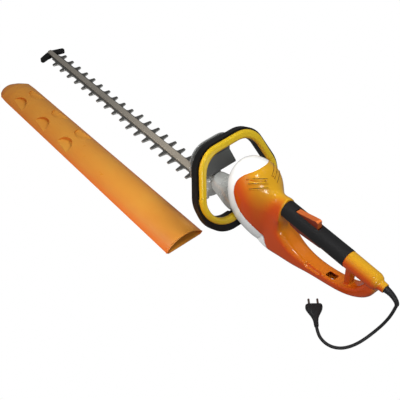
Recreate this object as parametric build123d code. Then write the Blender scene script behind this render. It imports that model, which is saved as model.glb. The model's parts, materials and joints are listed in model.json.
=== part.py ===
# Corded hedge trimmer with its cutter bar, gear head, motor, handles, mains lead and blade scabbard.
# X runs along the cutter bar to the rear, Y to the right of the tool, Z up.
# The crank axis stands at X = 0, Y = 0 and the gear cover rests on Z = 0.
import math
import os

from build123d import *

os.makedirs("parts", exist_ok=True)

# Cutter bar
BLADE_Z = 30.0
BLADE_T = 2.2
TOOTH_PITCH = 34.0
TEETH_PER_SIDE = 18
SHORT_TEETH = 10
FIRST_TOOTH_LEFT = -622.0
FIRST_TOOTH_RIGHT = -634.0
SHORT_REACH = 26.9
LONG_REACH = 33.2
BLADE_HALF = 12.7
TOOTH_BASE = 14.0
TOOTH_TIP = 7.4
TOOTH_TIP_R = 2.6
GULLET_R = 4.5
BLADE_FRONT = -648.0
BEVEL_ANGLE = 25.0
BLADE_NOSE = 8.0
BAR_FRONT = -680.0
BAR_REAR = -28.0
BAR_T = 4.0
BAR_HALF_FRONT = 7.0
BAR_HALF_REAR = 9.5
BAR_BEVEL = 1.6
BOLT_R = 3.5
BOLT_COUNT = 6
BOLT_FIRST = -611.0
BOLT_SPACING = 102.0
HEAD_R = 5.5
HEAD_H = 3.0
WASHER_R = 8.0
WASHER_T = 1.2

# Crank and gears
CRANK_E = 7.0
ECC_R = 12.5
YOKE_GAP = 1.8
YOKE_WALL = 4.0
CRANK_R = 5.0
GEAR_TEETH = 40
PINION_TEETH = 8
MODULE = 1.25
GEAR_PITCH_Z = 57.0
GEAR_FACE_IN = 22.0
GEAR_FACE_OUT = 28.0
RUN_FIT = 0.05
SLIDE_GAP = 0.3

# Gear head
HEAD_OUT = 33.0
HEAD_WALL = 3.0
HEAD_SPLIT_Z = 24.0
HEAD_TOP = 64.0
BUSH_WALL = 3.0
EAR_R = 5.5
COVER_FLOOR = 3.0
SCREW_R = 2.0
SCREW_HEAD_R = 3.8
SCREW_HEAD_H = 2.2
SUNK_HEAD_R = 3.5
SINK_R = 3.8

# Motor
MOTOR_Z = 62.0
SHAFT_R = 4.0
BEARING_R = 11.0
BEARING_W = 7.0
BEARING_X = 36.0
FLANGE_X = 136.0
STATOR_R = 33.0
ARMATURE_R = 19.0
STACK_FRONT = 166.0
STACK_REAR = 187.0
BARREL_X = 151.0
FRAME_WALL = 3.0
COMMUTATOR_R = 11.0
REAR_BEARING_X = 209.0
REAR_BEARING_R = 9.5

# Front loop handle
LOOP_TILT = 25.0
LOOP_X = 139.0
LOOP_DEPTH = 11.0
LOOP_BACK = 13.0
RIM_DEPTH = 23.0
BAR_TRAVEL = 2.5
SEAM_V = 97.0
# Loop outlines in the leaning plane as (half width, height, corner radius)
OUTER = ((80, 196, 62), (116, 82, 70), (102, 5, 72))
INNER = ((66, 177, 52), (100, 76, 44), (86, 24, 48))
RIM = ((82, 200, 66), (122, 84, 74), (106, -15, 78))

# Body and rear handle
WALL = 3.0
GRIP_FRONT = 258.0
GRIP_REAR = 445.0
GRIP_FRONT_Z = 146.0
GRIP_SLOPE = -1.84
GRIP_R = 20.5
SLEEVE_T = 2.8
TAIL_END = 531.0
TAIL_R = 20.0
COLLAR_R = 11.5
COLLAR_END = 545.0
TRIGGER_HALF = 8.0
LOCKOUT_HALF = 6.5

# Lead and plug
CORD_R = 3.5
PIN_R = 2.4
PIN_ROOT_R = 1.8
PIN_SPACING = 19.0
PIN_LENGTH = 19.0

# Scabbard
SCAB_TIP = -650.0
SCAB_MOUTH = 98.0
SCAB_Y = -152.0
SCAB_WALL = 2.0

MOTOR = Pos(0, 0, MOTOR_Z)
LOOP = Location((LOOP_X, 0, BLADE_Z), (0, -LOOP_TILT, 0))
GRIP = Location((GRIP_FRONT, 0, GRIP_FRONT_Z), (0, -GRIP_SLOPE, 0))


def write(name, *shapes):
    solids = [solid for shape in shapes for solid in shape.solids()]
    node = solids[0] if len(solids) == 1 else Compound(solids)
    node.label = name
    export_step(node, f"parts/{name}.step")


def turned(*corners):
    """Solid of revolution about X from corners (x, radius)."""
    return revolve(make_face(Polyline(*corners, close=True)), Axis.X)


def spun(*corners):
    """Solid of revolution about Z from corners (radius, z)."""
    return revolve(Plane.XZ * make_face(Polyline(*corners, close=True)), Axis.Z)


def slab(x0, x1, y0, y1, z0, z1):
    return Pos((x0 + x1) / 2, (y0 + y1) / 2, (z0 + z1) / 2) * Box(x1 - x0, y1 - y0, z1 - z0)


def post(x, y, z0, z1, radius):
    return Pos(x, y, (z0 + z1) / 2) * Cylinder(radius, z1 - z0)


def cross_rod(x, z, y0, y1, radius):
    return Pos(x, (y0 + y1) / 2, z) * Rot(90, 0, 0) * Cylinder(radius, y1 - y0)


def side_plate(points, y0, y1):
    """Flat plate with a side outline given as (x, z) corners."""
    face = Plane.XZ * make_face(Polyline(*points, close=True))
    return Pos(0, y1, 0) * extrude(face, y1 - y0)


# Cutter blades with staggered teeth and a slotted yoke
def tooth_row(first, side):
    points = []
    for index in range(TEETH_PER_SIDE):
        middle = first + index * TOOTH_PITCH
        reach = SHORT_REACH if index < SHORT_TEETH else LONG_REACH
        for offset_x, y in (
            (-TOOTH_BASE / 2, BLADE_HALF),
            (-TOOTH_TIP / 2, reach),
            (TOOTH_TIP / 2, reach),
            (TOOTH_BASE / 2, BLADE_HALF),
        ):
            points.append((middle + offset_x, side * y))
    return points


def blade_outline(neck):
    right = tooth_row(FIRST_TOOTH_RIGHT, 1)
    left = tooth_row(FIRST_TOOTH_LEFT, -1)
    ends = [(neck, BLADE_HALF), (neck, -BLADE_HALF)]
    nose_x = BLADE_FRONT - BLADE_NOSE
    nose = [(BLADE_FRONT, -BLADE_HALF), (nose_x, -5), (nose_x, 5), (BLADE_FRONT, BLADE_HALF)]
    face = make_face(Polyline(*right, *ends, *reversed(left), *nose, close=True))
    corners = face.vertices()
    tips = [v for v in corners if abs(v.Y) > BLADE_HALF + 1]
    gullets = [v for v in corners if abs(abs(v.Y) - BLADE_HALF) < 0.01 and BLADE_FRONT + 1 < v.X < neck - 1]
    face = fillet(tips, TOOTH_TIP_R)
    gullets = [v for v in face.vertices() for g in gullets if (v.center() - g.center()).length < 0.01]
    return fillet(gullets, GULLET_R)


def blade(crank_x, run, rise):
    """Blade on the shearing plane, its teeth bevelled away from it."""
    slot_r = ECC_R + YOKE_GAP
    slot_half = ECC_R + CRANK_E + 0.6 - slot_r
    outline = blade_outline(crank_x - ECC_R)
    yoke = Pos(crank_x, 0) * Rot(0, 0, 90) * SlotOverall(
        2 * (slot_half + slot_r + YOKE_WALL), 2 * (slot_r + YOKE_WALL)
    )
    hole = Pos(crank_x, 0) * Rot(0, 0, 90) * SlotOverall(2 * (slot_half + slot_r), 2 * slot_r)
    shape = extrude(outline, BLADE_T, taper=BEVEL_ANGLE)
    if shape.center().Z * rise < 0:
        shape = mirror(shape, Plane.XY)
    shape += extrude(yoke, BLADE_T, dir=(0, 0, rise))
    shape -= extrude(hole, 2 * BLADE_T, both=True)
    for index in range(BOLT_COUNT):
        x = BOLT_FIRST + index * BOLT_SPACING
        length = 2 * CRANK_E + 2 * (BOLT_R + SLIDE_GAP)
        slot = Pos(x - run * CRANK_E, 0) * SlotOverall(length + 0.6, 2 * (BOLT_R + SLIDE_GAP))
        shape -= extrude(slot, 2 * BLADE_T, both=True)
    return Pos(0, 0, BLADE_Z) * shape


UPPER_RUN = -1
LOWER_RUN = 1
upper_blade = blade(CRANK_E, UPPER_RUN, 1)
lower_blade = blade(-CRANK_E, LOWER_RUN, -1)
write("upper_blade", upper_blade)
write("lower_blade", lower_blade)

# Bevelled guide bar, its shoulder bolts from below and their washers
BAR_Z = BLADE_Z + BLADE_T
bar_face = make_face(
    Polyline(
        (BAR_FRONT, 4),
        (BAR_FRONT + 5, BAR_HALF_FRONT),
        (BAR_REAR, BAR_HALF_REAR),
        (BAR_REAR, -BAR_HALF_REAR),
        (BAR_FRONT + 5, -BAR_HALF_FRONT),
        (BAR_FRONT, -4),
        close=True,
    )
)
guide_bar = Pos(0, 0, BAR_Z) * extrude(bar_face, BAR_T)
top_rim = [e for e in guide_bar.faces().sort_by(Axis.Z)[-1].edges() if e.length > 100]
guide_bar = chamfer(top_rim, BAR_BEVEL)
WASHER_Z = BLADE_Z - BLADE_T - WASHER_T
bolt_places = [BOLT_FIRST + i * BOLT_SPACING for i in range(BOLT_COUNT)]
blade_bolts = []
blade_washers = []
BOLT_TOP = BAR_Z + BAR_T - 1.0
for x in bolt_places:
    shank = post(x, 0, WASHER_Z, BOLT_TOP, BOLT_R)
    head = Pos(x, 0, WASHER_Z - HEAD_H) * extrude(RegularPolygon(HEAD_R, 6), HEAD_H)
    blade_bolts.append(shank + head)
    washer = post(x, 0, WASHER_Z, WASHER_Z + WASHER_T, WASHER_R)
    blade_washers.append(washer - post(x, 0, 0, BAR_Z, BOLT_R + RUN_FIT))
    guide_bar -= post(x, 0, BAR_Z - 1, BOLT_TOP, BOLT_R + RUN_FIT)

# Tip guard with two rounded ears under the front of the guide bar
TIP_SPAN = 38.0
TIP_ROOM_HALF = BLADE_HALF + 1.8
tip_corners = ((0, 8, 3), (4, 19, 6), (11, TIP_SPAN, 5), (24, TIP_SPAN, 5), (19, 18, 6))
tip_face = make_face(
    Polyline(
        *[(BAR_FRONT + x, y) for x, y, _ in tip_corners],
        *[(BAR_FRONT + x, -y) for x, y, _ in reversed(tip_corners)],
        close=True,
    )
)
for x, y, radius in tip_corners:
    ends = [v for v in tip_face.vertices() if abs(v.X - BAR_FRONT - x) < 0.01 and abs(abs(v.Y) - y) < 0.01]
    tip_face = fillet(ends, radius)
TIP_LOW = 23.0
TIP_HIGH = BAR_Z + 1.5
tip_guard = Pos(0, 0, TIP_LOW) * extrude(tip_face, TIP_HIGH - TIP_LOW)
tip_guard = fillet(tip_guard.faces().sort_by(Axis.Z)[-1].edges(), 2.0)
tip_room_front = BLADE_FRONT - BLADE_NOSE - 2 * CRANK_E - 1
tip_guard -= slab(tip_room_front, 0, -TIP_ROOM_HALF, TIP_ROOM_HALF, BLADE_Z - BLADE_T - 0.4, BAR_Z)
tip_guard -= Pos(0, 0, BAR_Z) * extrude(bar_face, BAR_T)
TIP_SCREW_X = BAR_FRONT + 5
TIP_SCREW_TOP = BAR_Z + BAR_T - 1.2
tip_hole = post(TIP_SCREW_X, 0, TIP_LOW - 1, TIP_SCREW_TOP, SCREW_R + RUN_FIT)
tip_guard -= tip_hole
guide_bar -= tip_hole
tip_screw = post(TIP_SCREW_X, 0, TIP_LOW, TIP_SCREW_TOP - 0.3, SCREW_R)
tip_screw += post(TIP_SCREW_X, 0, TIP_LOW - 1.6, TIP_LOW, SCREW_HEAD_R)
write("tip_guard", tip_guard)
write("tip_guard_screw", tip_screw)

# Gear head shell with nose, motor bell, cover ears and bar lug
ROOF_Z = 59.2
CAVITY_R = HEAD_OUT - HEAD_WALL
BUSH_LOW = 54.6
BUSH_HIGH = 62.0
EAR_ANGLES = (42, 98, -42, -98)
EAR_REACH = HEAD_OUT + 2.0
ear_turns = [math.radians(a) for a in EAR_ANGLES]
ear_places = [(EAR_REACH * math.cos(t), EAR_REACH * math.sin(t)) for t in ear_turns]


def rounded_section(x, half, low, high, radius):
    plane = Plane(origin=(x, 0, (low + high) / 2), x_dir=(0, 1, 0), z_dir=(1, 0, 0))
    return plane * RectangleRounded(2 * half, high - low, radius)


BELL = (
    (30.0, 13.0, 46.0, 80.0, 12.0),
    (37.0, 18.5, 41.0, 85.5, 15.0),
    (50.0, 22.5, 38.0, 88.0, 17.0),
    (80.0, 31.0, 37.5, 96.0, 23.0),
    (106.0, 39.0, 39.0, 103.0, 27.0),
    (FLANGE_X, 43.0, 49.5, 108.0, 28.0),
)
BELL_WALL = 3.2
bell = loft([rounded_section(*s) for s in BELL])
bell_room = loft(
    [
        rounded_section(x, half - BELL_WALL, low + BELL_WALL, high - BELL_WALL, radius - BELL_WALL)
        for x, half, low, high, radius in BELL[2:]
    ]
)
drum = fillet(post(0, 0, HEAD_SPLIT_Z, HEAD_TOP, HEAD_OUT).edges().sort_by(Axis.Z)[-1:], 6.0)
hump = Pos(27, 0, MOTOR_Z) * Rot(0, 90, 0) * Cylinder(12.0, 26.0)
LUG_X0 = -54.0
lug = slab(LUG_X0, -HEAD_OUT + 3, -13, 13, BAR_Z + BAR_T, 47)
lug = fillet(lug.edges().filter_by(Axis.Z) + lug.faces().sort_by(Axis.Z)[-1].edges(), 2.5)
gear_housing = drum + bell + hump + lug
for x, y in ear_places:
    gear_housing += post(x, y, HEAD_SPLIT_Z, HEAD_SPLIT_Z + 14, EAR_R)
gear_housing -= post(0, 0, HEAD_SPLIT_Z - 1, ROOF_Z, CAVITY_R)
gear_housing -= bell_room
gear_housing -= slab(FLANGE_X - 0.01, FLANGE_X + 20, -60, 60, 0, 120)
bush_boss = post(0, 0, BUSH_LOW, HEAD_TOP - 1, CRANK_R + BUSH_WALL + 3)
gear_housing += bush_boss
gear_housing -= post(0, 0, BUSH_LOW - 1, BUSH_HIGH, CRANK_R + BUSH_WALL)
TUNNEL_R = 8.0
gear_housing -= MOTOR * turned((15, 0), (15, TUNNEL_R), (BEARING_X, TUNNEL_R), (BEARING_X, 0))
gear_housing -= MOTOR * turned(
    (BEARING_X, 0), (BEARING_X, BEARING_R), (BEARING_X + BEARING_W, BEARING_R), (60, BEARING_R), (60, 0)
)
MOUTH_REAR = -14.0
MOUTH_LOW = BLADE_Z - BLADE_T - 0.4
MOUTH_HIGH = BLADE_Z + BLADE_T + 0.4
mouth = slab(-80, MOUTH_REAR, -45, 45, MOUTH_LOW, MOUTH_HIGH)
gear_housing -= mouth
GUARD_SCREW_X = -2.0
GUARD_SCREW_Y = 19.0
for y in (-GUARD_SCREW_Y, GUARD_SCREW_Y):
    gear_housing -= post(GUARD_SCREW_X, y, ROOF_Z + 0.5, HEAD_TOP + 1, SCREW_R + RUN_FIT)
gear_housing -= slab(-80, BAR_REAR, -BAR_HALF_REAR, BAR_HALF_REAR, MOUTH_LOW, BAR_Z + BAR_T)

# Foot of the gear head on the loop's lower limb
LIMB_TOP_V = 18.0
foot = slab(100, 132, -20, 20, 30, 60)
below_limb = LOOP * slab(-80, 60, -80, 80, -80, LIMB_TOP_V)
gear_housing += foot - below_limb - bell_room

# Gear cover with lower bush boss
cover_block = spun((0, 0), (20, 0), (HEAD_OUT, 13), (HEAD_OUT, HEAD_SPLIT_Z), (0, HEAD_SPLIT_Z))
cover = cover_block
for x, y in ear_places:
    cover += post(x, y, HEAD_SPLIT_Z - 12, HEAD_SPLIT_Z, EAR_R)
cover -= spun(
    (0, COVER_FLOOR), (18, COVER_FLOOR), (CAVITY_R, 15), (CAVITY_R, HEAD_SPLIT_Z + 1), (0, HEAD_SPLIT_Z + 1)
)
LOW_BUSH_TOP = 22.0
cover += post(0, 0, COVER_FLOOR - 1, LOW_BUSH_TOP, CRANK_R + BUSH_WALL + 3)
cover -= post(0, 0, COVER_FLOOR + 3, LOW_BUSH_TOP + 1, CRANK_R + BUSH_WALL)
for angle in range(0, 360, 45):
    rib = Rot(0, 0, angle) * slab(CRANK_R + BUSH_WALL + 2, CAVITY_R + 1, -1, 1, COVER_FLOOR - 1, 9)
    cover += rib & cover_block
gear_cover_screws = []
for x, y in ear_places:
    cover -= post(x, y, HEAD_SPLIT_Z - 30, HEAD_SPLIT_Z - 12, EAR_R)
    cover -= post(x, y, 0, HEAD_SPLIT_Z + 1, SCREW_R + RUN_FIT)
    gear_housing -= post(x, y, HEAD_SPLIT_Z - 1, HEAD_SPLIT_Z + 10, SCREW_R + RUN_FIT)
    low = HEAD_SPLIT_Z - 12
    screw_head = post(x, y, low - SCREW_HEAD_H, low, SCREW_HEAD_R)
    gear_cover_screws.append(post(x, y, low, HEAD_SPLIT_Z + 9, SCREW_R) + screw_head)
write("gear_cover", cover)
write("gear_cover_screws", *gear_cover_screws)

# Screws of the bar lug
bar_screws = []
LUG_TOP = 47.0
for x in (LUG_X0 + 6, LUG_X0 + 15):
    hole = post(x, 0, BAR_Z + 0.8, LUG_TOP + 1, SCREW_R + RUN_FIT)
    gear_housing -= hole
    guide_bar -= hole
    screw_head = post(x, 0, LUG_TOP, LUG_TOP + SCREW_HEAD_H, SCREW_HEAD_R)
    bar_screws.append(post(x, 0, BAR_Z + 1, LUG_TOP, SCREW_R) + screw_head)
write("guide_bar", guide_bar)
write("bar_screws", *bar_screws)
write("blade_bolts", *blade_bolts)
write("blade_washers", *blade_washers)

# Crank shaft with two opposed eccentrics and its bushes
ECC_PLAY = 0.1
crank_shaft = post(0, 0, COVER_FLOOR + 4, BUSH_HIGH - 0.5, CRANK_R)
crank_shaft += post(CRANK_E, 0, BLADE_Z, BLADE_Z + BLADE_T - ECC_PLAY, ECC_R)
crank_shaft += post(-CRANK_E, 0, BLADE_Z - BLADE_T + ECC_PLAY, BLADE_Z, ECC_R)
write("crank_shaft", crank_shaft)


def bush(low, high):
    ring = post(0, 0, low, high, CRANK_R + BUSH_WALL)
    return ring - post(0, 0, low - 1, high + 1, CRANK_R + RUN_FIT)


write("crank_bushes", bush(COVER_FLOOR + 3, LOW_BUSH_TOP), bush(BUSH_LOW, BUSH_HIGH))

# Face gear and pinion
GEAR_ROOT_Z = GEAR_PITCH_Z - 1.4
GEAR_TIP_Z = GEAR_PITCH_Z + 1.1
HUB_R = 9.0
gear = spun(
    (CRANK_R, 36),
    (HUB_R, 36),
    (HUB_R, 46),
    (GEAR_FACE_OUT, 49),
    (GEAR_FACE_OUT, GEAR_ROOT_Z),
    (GEAR_FACE_IN, GEAR_ROOT_Z),
    (GEAR_FACE_IN - 4, 52),
    (HUB_R, 52),
    (HUB_R, 54),
    (CRANK_R, 54),
)


def gear_tooth(radius, share):
    pitch = 2 * math.pi * radius / GEAR_TEETH
    plane = Plane(origin=(radius, 0, 0), x_dir=(0, 1, 0), z_dir=(1, 0, 0))
    root = 0.66 * pitch / 2
    tip = share * pitch / 2
    low = GEAR_ROOT_Z - 0.3
    corners = ((-root, low), (root, low), (tip, GEAR_TIP_Z), (-tip, GEAR_TIP_Z))
    return plane * make_face(Polyline(*corners, close=True))


one_tooth = loft([gear_tooth(GEAR_FACE_IN, 0.2), gear_tooth(GEAR_FACE_OUT, 0.2)])
STEP = 360 / GEAR_TEETH
gear_teeth = [Rot(0, 0, (i + 0.5) * STEP) * one_tooth for i in range(GEAR_TEETH)]
crank_gear = gear + gear_teeth
write("crank_gear", crank_gear)

PINION_PITCH_R = MODULE * PINION_TEETH / 2
PINION_X0 = 22.4
PINION_X1 = 29.4
pinion_face = Circle(PINION_PITCH_R - 1.35)
for index in range(PINION_TEETH):
    pinion_tooth = make_face(
        Polyline(
            (3.0, -0.95),
            (PINION_PITCH_R - 1.2, -0.85),
            (PINION_PITCH_R + 1.1, -0.3),
            (PINION_PITCH_R + 1.1, 0.3),
            (PINION_PITCH_R - 1.2, 0.85),
            (3.0, 0.95),
            close=True,
        )
    )
    pinion_face += Rot(0, 0, -90 + index * 360 / PINION_TEETH) * pinion_tooth
SHAFT_NOSE_R = 2.4
pinion_face -= Circle(SHAFT_NOSE_R)
pinion_plane = Plane(origin=(PINION_X0, 0, MOTOR_Z), x_dir=(0, 1, 0), z_dir=(1, 0, 0))
drive_pinion = extrude(pinion_plane * pinion_face, PINION_X1 - PINION_X0)
write("drive_pinion", drive_pinion)

# Rotor: stepped shaft, fan, armature, windings and commutator
SHAFT_END = 214.0
rotor_shaft = MOTOR * turned(
    (PINION_X0 - 0.5, 0), (PINION_X0 - 0.5, SHAFT_NOSE_R), (PINION_X1, SHAFT_NOSE_R), (PINION_X1, SHAFT_R),
    (SHAFT_END, SHAFT_R), (SHAFT_END, 0),
)
write("rotor_shaft", rotor_shaft)
FAN_X = BARREL_X + 3.5
FAN_R = 30.0
fan = turned(
    (FAN_X, SHAFT_R),
    (FAN_X, 9),
    (FAN_X + 4.5, 9),
    (FAN_X + 4.5, FAN_R),
    (FAN_X + 6, FAN_R),
    (FAN_X + 6, SHAFT_R),
)
for index in range(9):
    vane = slab(FAN_X, FAN_X + 5, -0.9, 0.9, 8.5, FAN_R - 1)
    fan += Rot(index * 40, 0, 0) * vane
write("cooling_fan", MOTOR * fan)
core_face = Circle(ARMATURE_R) - Circle(SHAFT_R)
for index in range(12):
    slot = Pos(ARMATURE_R - 3, 0) * SlotOverall(9, 3.2) + Pos(ARMATURE_R, 0) * Rectangle(4, 1.4)
    core_face -= Rot(0, 0, index * 30) * slot
core_plane = Plane(origin=(STACK_FRONT, 0, MOTOR_Z), x_dir=(0, 1, 0), z_dir=(1, 0, 0))
write("armature_core", extrude(core_plane * core_face, STACK_REAR - STACK_FRONT))
TURN_LENGTH = 5.0
winding_front = turned(
    (STACK_FRONT - TURN_LENGTH, SHAFT_R),
    (STACK_FRONT - TURN_LENGTH, 14),
    (STACK_FRONT - 2, 17),
    (STACK_FRONT, 17),
    (STACK_FRONT, SHAFT_R),
)
winding_rear = turned(
    (STACK_REAR, SHAFT_R),
    (STACK_REAR, 17),
    (STACK_REAR + 2, 17),
    (STACK_REAR + TURN_LENGTH + 1, 14),
    (STACK_REAR + TURN_LENGTH + 1, SHAFT_R),
)
write("armature_winding", MOTOR * winding_front, MOTOR * winding_rear)
COMM_X0 = 194.0
COMM_X1 = 206.0
RISER_R = COMMUTATOR_R + 1.5
commutator = turned(
    (COMM_X0, SHAFT_R),
    (COMM_X0, RISER_R),
    (COMM_X0 + 2, RISER_R),
    (COMM_X0 + 2, COMMUTATOR_R),
    (COMM_X1, COMMUTATOR_R),
    (COMM_X1, SHAFT_R),
)
write("commutator", MOTOR * commutator)


def bearing(x, outer, width):
    bore = SHAFT_R + RUN_FIT
    land = SHAFT_R + 2
    seat = outer - 2
    rear = x + width
    inner_race = turned((x, bore), (x, land), (rear, land), (rear, bore))
    shield = turned((x + 1, land), (x + 1, seat), (rear - 1, seat), (rear - 1, land))
    outer_race = turned((x, seat), (x, outer), (rear, outer), (rear, seat))
    return MOTOR * (inner_race + shield + outer_race)


write("front_bearing", bearing(BEARING_X, BEARING_R, BEARING_W))
write("rear_bearing", bearing(REAR_BEARING_X, REAR_BEARING_R, 6.0))

# Stator and motor frame
stator_face = Circle(STATOR_R) - Circle(ARMATURE_R + 1)
for side in (-1, 1):
    stator_face -= Pos(side * 24, 0) * RectangleRounded(9, 34, 3)
write("stator_core", extrude(core_plane * stator_face, STACK_REAR - STACK_FRONT))


def field_coil(side):
    middle = side * 24
    turns = slab(STACK_FRONT - 5, STACK_REAR + 5, middle - 4.5, middle + 4.5, -13.5, 13.5)
    window = slab(STACK_FRONT, STACK_REAR, middle - 6, middle + 6, -9, 9)
    return MOTOR * (turns - window)


write("field_coils", field_coil(1), field_coil(-1))
FRAME_R = STATOR_R + FRAME_WALL
NECK_R = 12.5
PLATE_T = 3.5
frame = turned(
    (FLANGE_X, NECK_R - 3),
    (FLANGE_X, NECK_R),
    (BARREL_X, NECK_R),
    (BARREL_X, FRAME_R),
    (190, FRAME_R),
    (205, 26),
    (217, 26),
    (217, REAR_BEARING_R),
    (REAR_BEARING_X, REAR_BEARING_R),
    (REAR_BEARING_X, 23),
    (204, 23),
    (190, STATOR_R),
    (BARREL_X + 3, STATOR_R),
    (BARREL_X + 3, NECK_R - 3),
)
x, half, low, high, radius = BELL[-1]
INSET = 0.3
plate_face = rounded_section(x, half - INSET, low + INSET, high - INSET, radius - INSET)
plate = extrude(Pos(0, 0, -MOTOR_Z) * plate_face, PLATE_T)
NECK_BORE = NECK_R - 3
plate -= turned((FLANGE_X - 1, 0), (FLANGE_X - 1, NECK_BORE), (FLANGE_X + 9, NECK_BORE), (FLANGE_X + 9, 0))
frame += plate
for angle in range(0, 360, 45):
    frame -= Rot(angle + 22.5, 0, 0) * slab(193, 201, -4, 4, 20, 40)
CAP_X0 = 158.0
CAP_X1 = 184.0
CAP_SEAT = 40.0
frame += slab(CAP_X0 - 2, CAP_X1 + 2, -11, 11, STATOR_R + 1, CAP_SEAT)
BOLT_Y = 30.0
motor_screws = []
for y in (-BOLT_Y, BOLT_Y):
    for z in (60.0, 95.0):
        boss = Pos(FLANGE_X - 9, y, z) * Rot(0, 90, 0) * Cylinder(5.5, 18)
        hole = Pos(FLANGE_X - 6, y, z) * Rot(0, 90, 0) * Cylinder(SCREW_R + RUN_FIT, 24)
        gear_housing += boss & bell
        gear_housing -= hole
        frame -= MOTOR.inverse() * hole
        shank = Pos(FLANGE_X - 4, y, z) * Rot(0, 90, 0) * Cylinder(SCREW_R, 15.0)
        head = Pos(FLANGE_X + PLATE_T + 1.1, y, z) * Rot(0, 90, 0) * Cylinder(3.6, 2.2)
        motor_screws.append(shank + head)
write("motor_screws", *motor_screws)
capacitor = slab(CAP_X0, CAP_X1, -9, 9, CAP_SEAT, CAP_SEAT + 15)
write("suppression_capacitor", MOTOR * fillet(capacitor.edges(), 1.5))


def brush_box(side):
    outer = slab(197, 206, -4.5, 4.5, COMMUTATOR_R + 1, 22.5)
    hole = slab(198.5, 204.5, -3, 3, 0, 22.0)
    return MOTOR * (Rot(side * -90, 0, 0) * (outer - hole))


def brush(side):
    block = slab(198.6, 204.4, -2.9, 2.9, COMMUTATOR_R + 0.4, 18.0)
    return MOTOR * (Rot(side * -90, 0, 0) * block)


def brush_spring(side):
    leaf = slab(199.5, 203.5, -2, 2, 18.0, 18.6) + slab(199.5, 203.5, -0.4, 0.4, 18.0, 22.0)
    leaf += slab(199.5, 203.5, -2, 2, 21.4, 22.0)
    return MOTOR * (Rot(side * -90, 0, 0) * leaf)


write("brush_holders", brush_box(1), brush_box(-1))
write("carbon_brushes", brush(1), brush(-1))
write("brush_springs", brush_spring(1), brush_spring(-1))

# Body: egg sections (x, widest height, half width, top, bottom)
BODY = (
    (113.0, 140.0, 33.0, 180.0, 44.0),
    (122.0, 140.0, 46.0, 195.0, 26.0),
    (136.0, 140.0, 53.0, 203.5, 15.0),
    (158.0, 140.0, 57.0, 209.0, 7.0),
    (188.0, 135.0, 55.0, 206.0, 0.0),
    (218.0, 122.0, 37.0, 181.0, -2.0),
    (243.0, 118.0, 27.0, 169.5, 6.0),
    (264.0, 122.0, 22.0, 166.0, 40.0),
)


def egg(x, middle, half, top, bottom, skin=0.0):
    plane = Plane(origin=(x, 0, middle), x_dir=(0, 1, 0), z_dir=(1, 0, 0))
    crown = EllipticalCenterArc((0, 0), half - skin, top - middle - skin, 0, arc_size=180)
    keel = EllipticalCenterArc((0, 0), half - skin, middle - bottom - skin, 180, arc_size=180)
    return plane * make_face(crown + keel)


def body_loft(skin, rows):
    return loft([egg(*row, skin=skin) for row in rows])


# Lower bow: strap sections (x, z, slope, half width, half height)
BOW = (
    (192.0, 62.0, 0.0, 20.0, 48.0),
    (222.0, 58.0, 0.0, 27.0, 56.0),
    (255.0, 52.0, 0.0, 27.5, 47.0),
    (283.0, 43.0, 2.0, 26.5, 33.0),
    (310.0, 38.0, 8.0, 24.5, 24.0),
    (338.0, 38.0, 8.0, 22.0, 16.0),
    (366.0, 41.0, 11.0, 20.0, 12.5),
    (423.0, 52.0, 15.0, 19.5, 10.0),
    (464.0, 66.5, 24.0, 19.0, 10.5),
    (492.0, 86.0, 42.0, 18.0, 12.5),
    (511.0, 112.0, 62.0, 17.5, 14.0),
    (516.0, 134.0, 80.0, 14.0, 9.5),
)


def strap(x, z, slope, half, tall, skin=0.0):
    turn = math.radians(slope)
    plane = Plane(origin=(x, 0, z), x_dir=(0, 1, 0), z_dir=(math.cos(turn), 0, math.sin(turn)))
    radius = 0.62 * min(half, tall)
    return plane * RectangleRounded(2 * (half - skin), 2 * (tall - skin), radius - 0.5 * skin)


def bow_loft(skin, rows):
    return loft([strap(*row, skin=skin) for row in rows])


def grip_tube(x0, x1, radius):
    front = x0 - GRIP_FRONT
    rear = x1 - GRIP_FRONT
    return GRIP * turned((front, 0), (front, radius), (rear, radius), (rear, 0))


TAIL_TIP_R = 15.0
CORE_R = GRIP_R - SLEEVE_T
FRONT_FACE = 6.0
HOLLOW = ((BODY[0][0] + WALL + 1, *BODY[0][1:]), *BODY[1:-1], (BODY[-1][0] - WALL, *BODY[-1][1:]))
NOTCH_GAP = 0.4
limb_notch = LOOP * slab(-300, LOOP_BACK + NOTCH_GAP, -140, 140, OUTER[-1][1] - NOTCH_GAP, 30)
body_out = body_loft(0.0, BODY) - LOOP * slab(-300, FRONT_FACE, -100, 100, -100, 120)
body_in = body_loft(WALL, HOLLOW) - LOOP * slab(-300, FRONT_FACE + WALL, -100, 100, -100, 120)
bow_out = bow_loft(0.0, BOW)
bow_in = bow_loft(WALL, BOW[:-1])
tail_out = GRIP * turned(
    (GRIP_REAR - GRIP_FRONT, 0),
    (GRIP_REAR - GRIP_FRONT, TAIL_R),
    (TAIL_END - GRIP_FRONT - 12, TAIL_R - 1),
    (TAIL_END - GRIP_FRONT - 4, TAIL_R - 4),
    (TAIL_END - GRIP_FRONT, COLLAR_R),
    (COLLAR_END - GRIP_FRONT, COLLAR_R - 1),
    (COLLAR_END - GRIP_FRONT, 0),
)
tail_in = GRIP * turned(
    (GRIP_REAR - GRIP_FRONT - 8, 0),
    (GRIP_REAR - GRIP_FRONT - 8, CORE_R - WALL),
    (TAIL_END - GRIP_FRONT - 10, TAIL_R - WALL - 2),
    (TAIL_END - GRIP_FRONT - 4, COLLAR_R - WALL),
    (TAIL_END - GRIP_FRONT - 4, 0),
)
strut = side_plate(((448, 60), (461, 66), (463, 128), (446, 128)), -9, 9)
floor_trim = slab(0, 700, -80, 80, -20, 0)
split_line = Spline(
    (196, 232), (180, 208), (159, 190), (151, 168), (151, 156), (155, 136), (164, 117), (180, 96),
    (202, 71), (219, 44), (236, 15), (246, -12),
)
split_side = make_face(split_line + Polyline(split_line @ 1, (60, -12), (60, 232), split_line @ 0))
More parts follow.
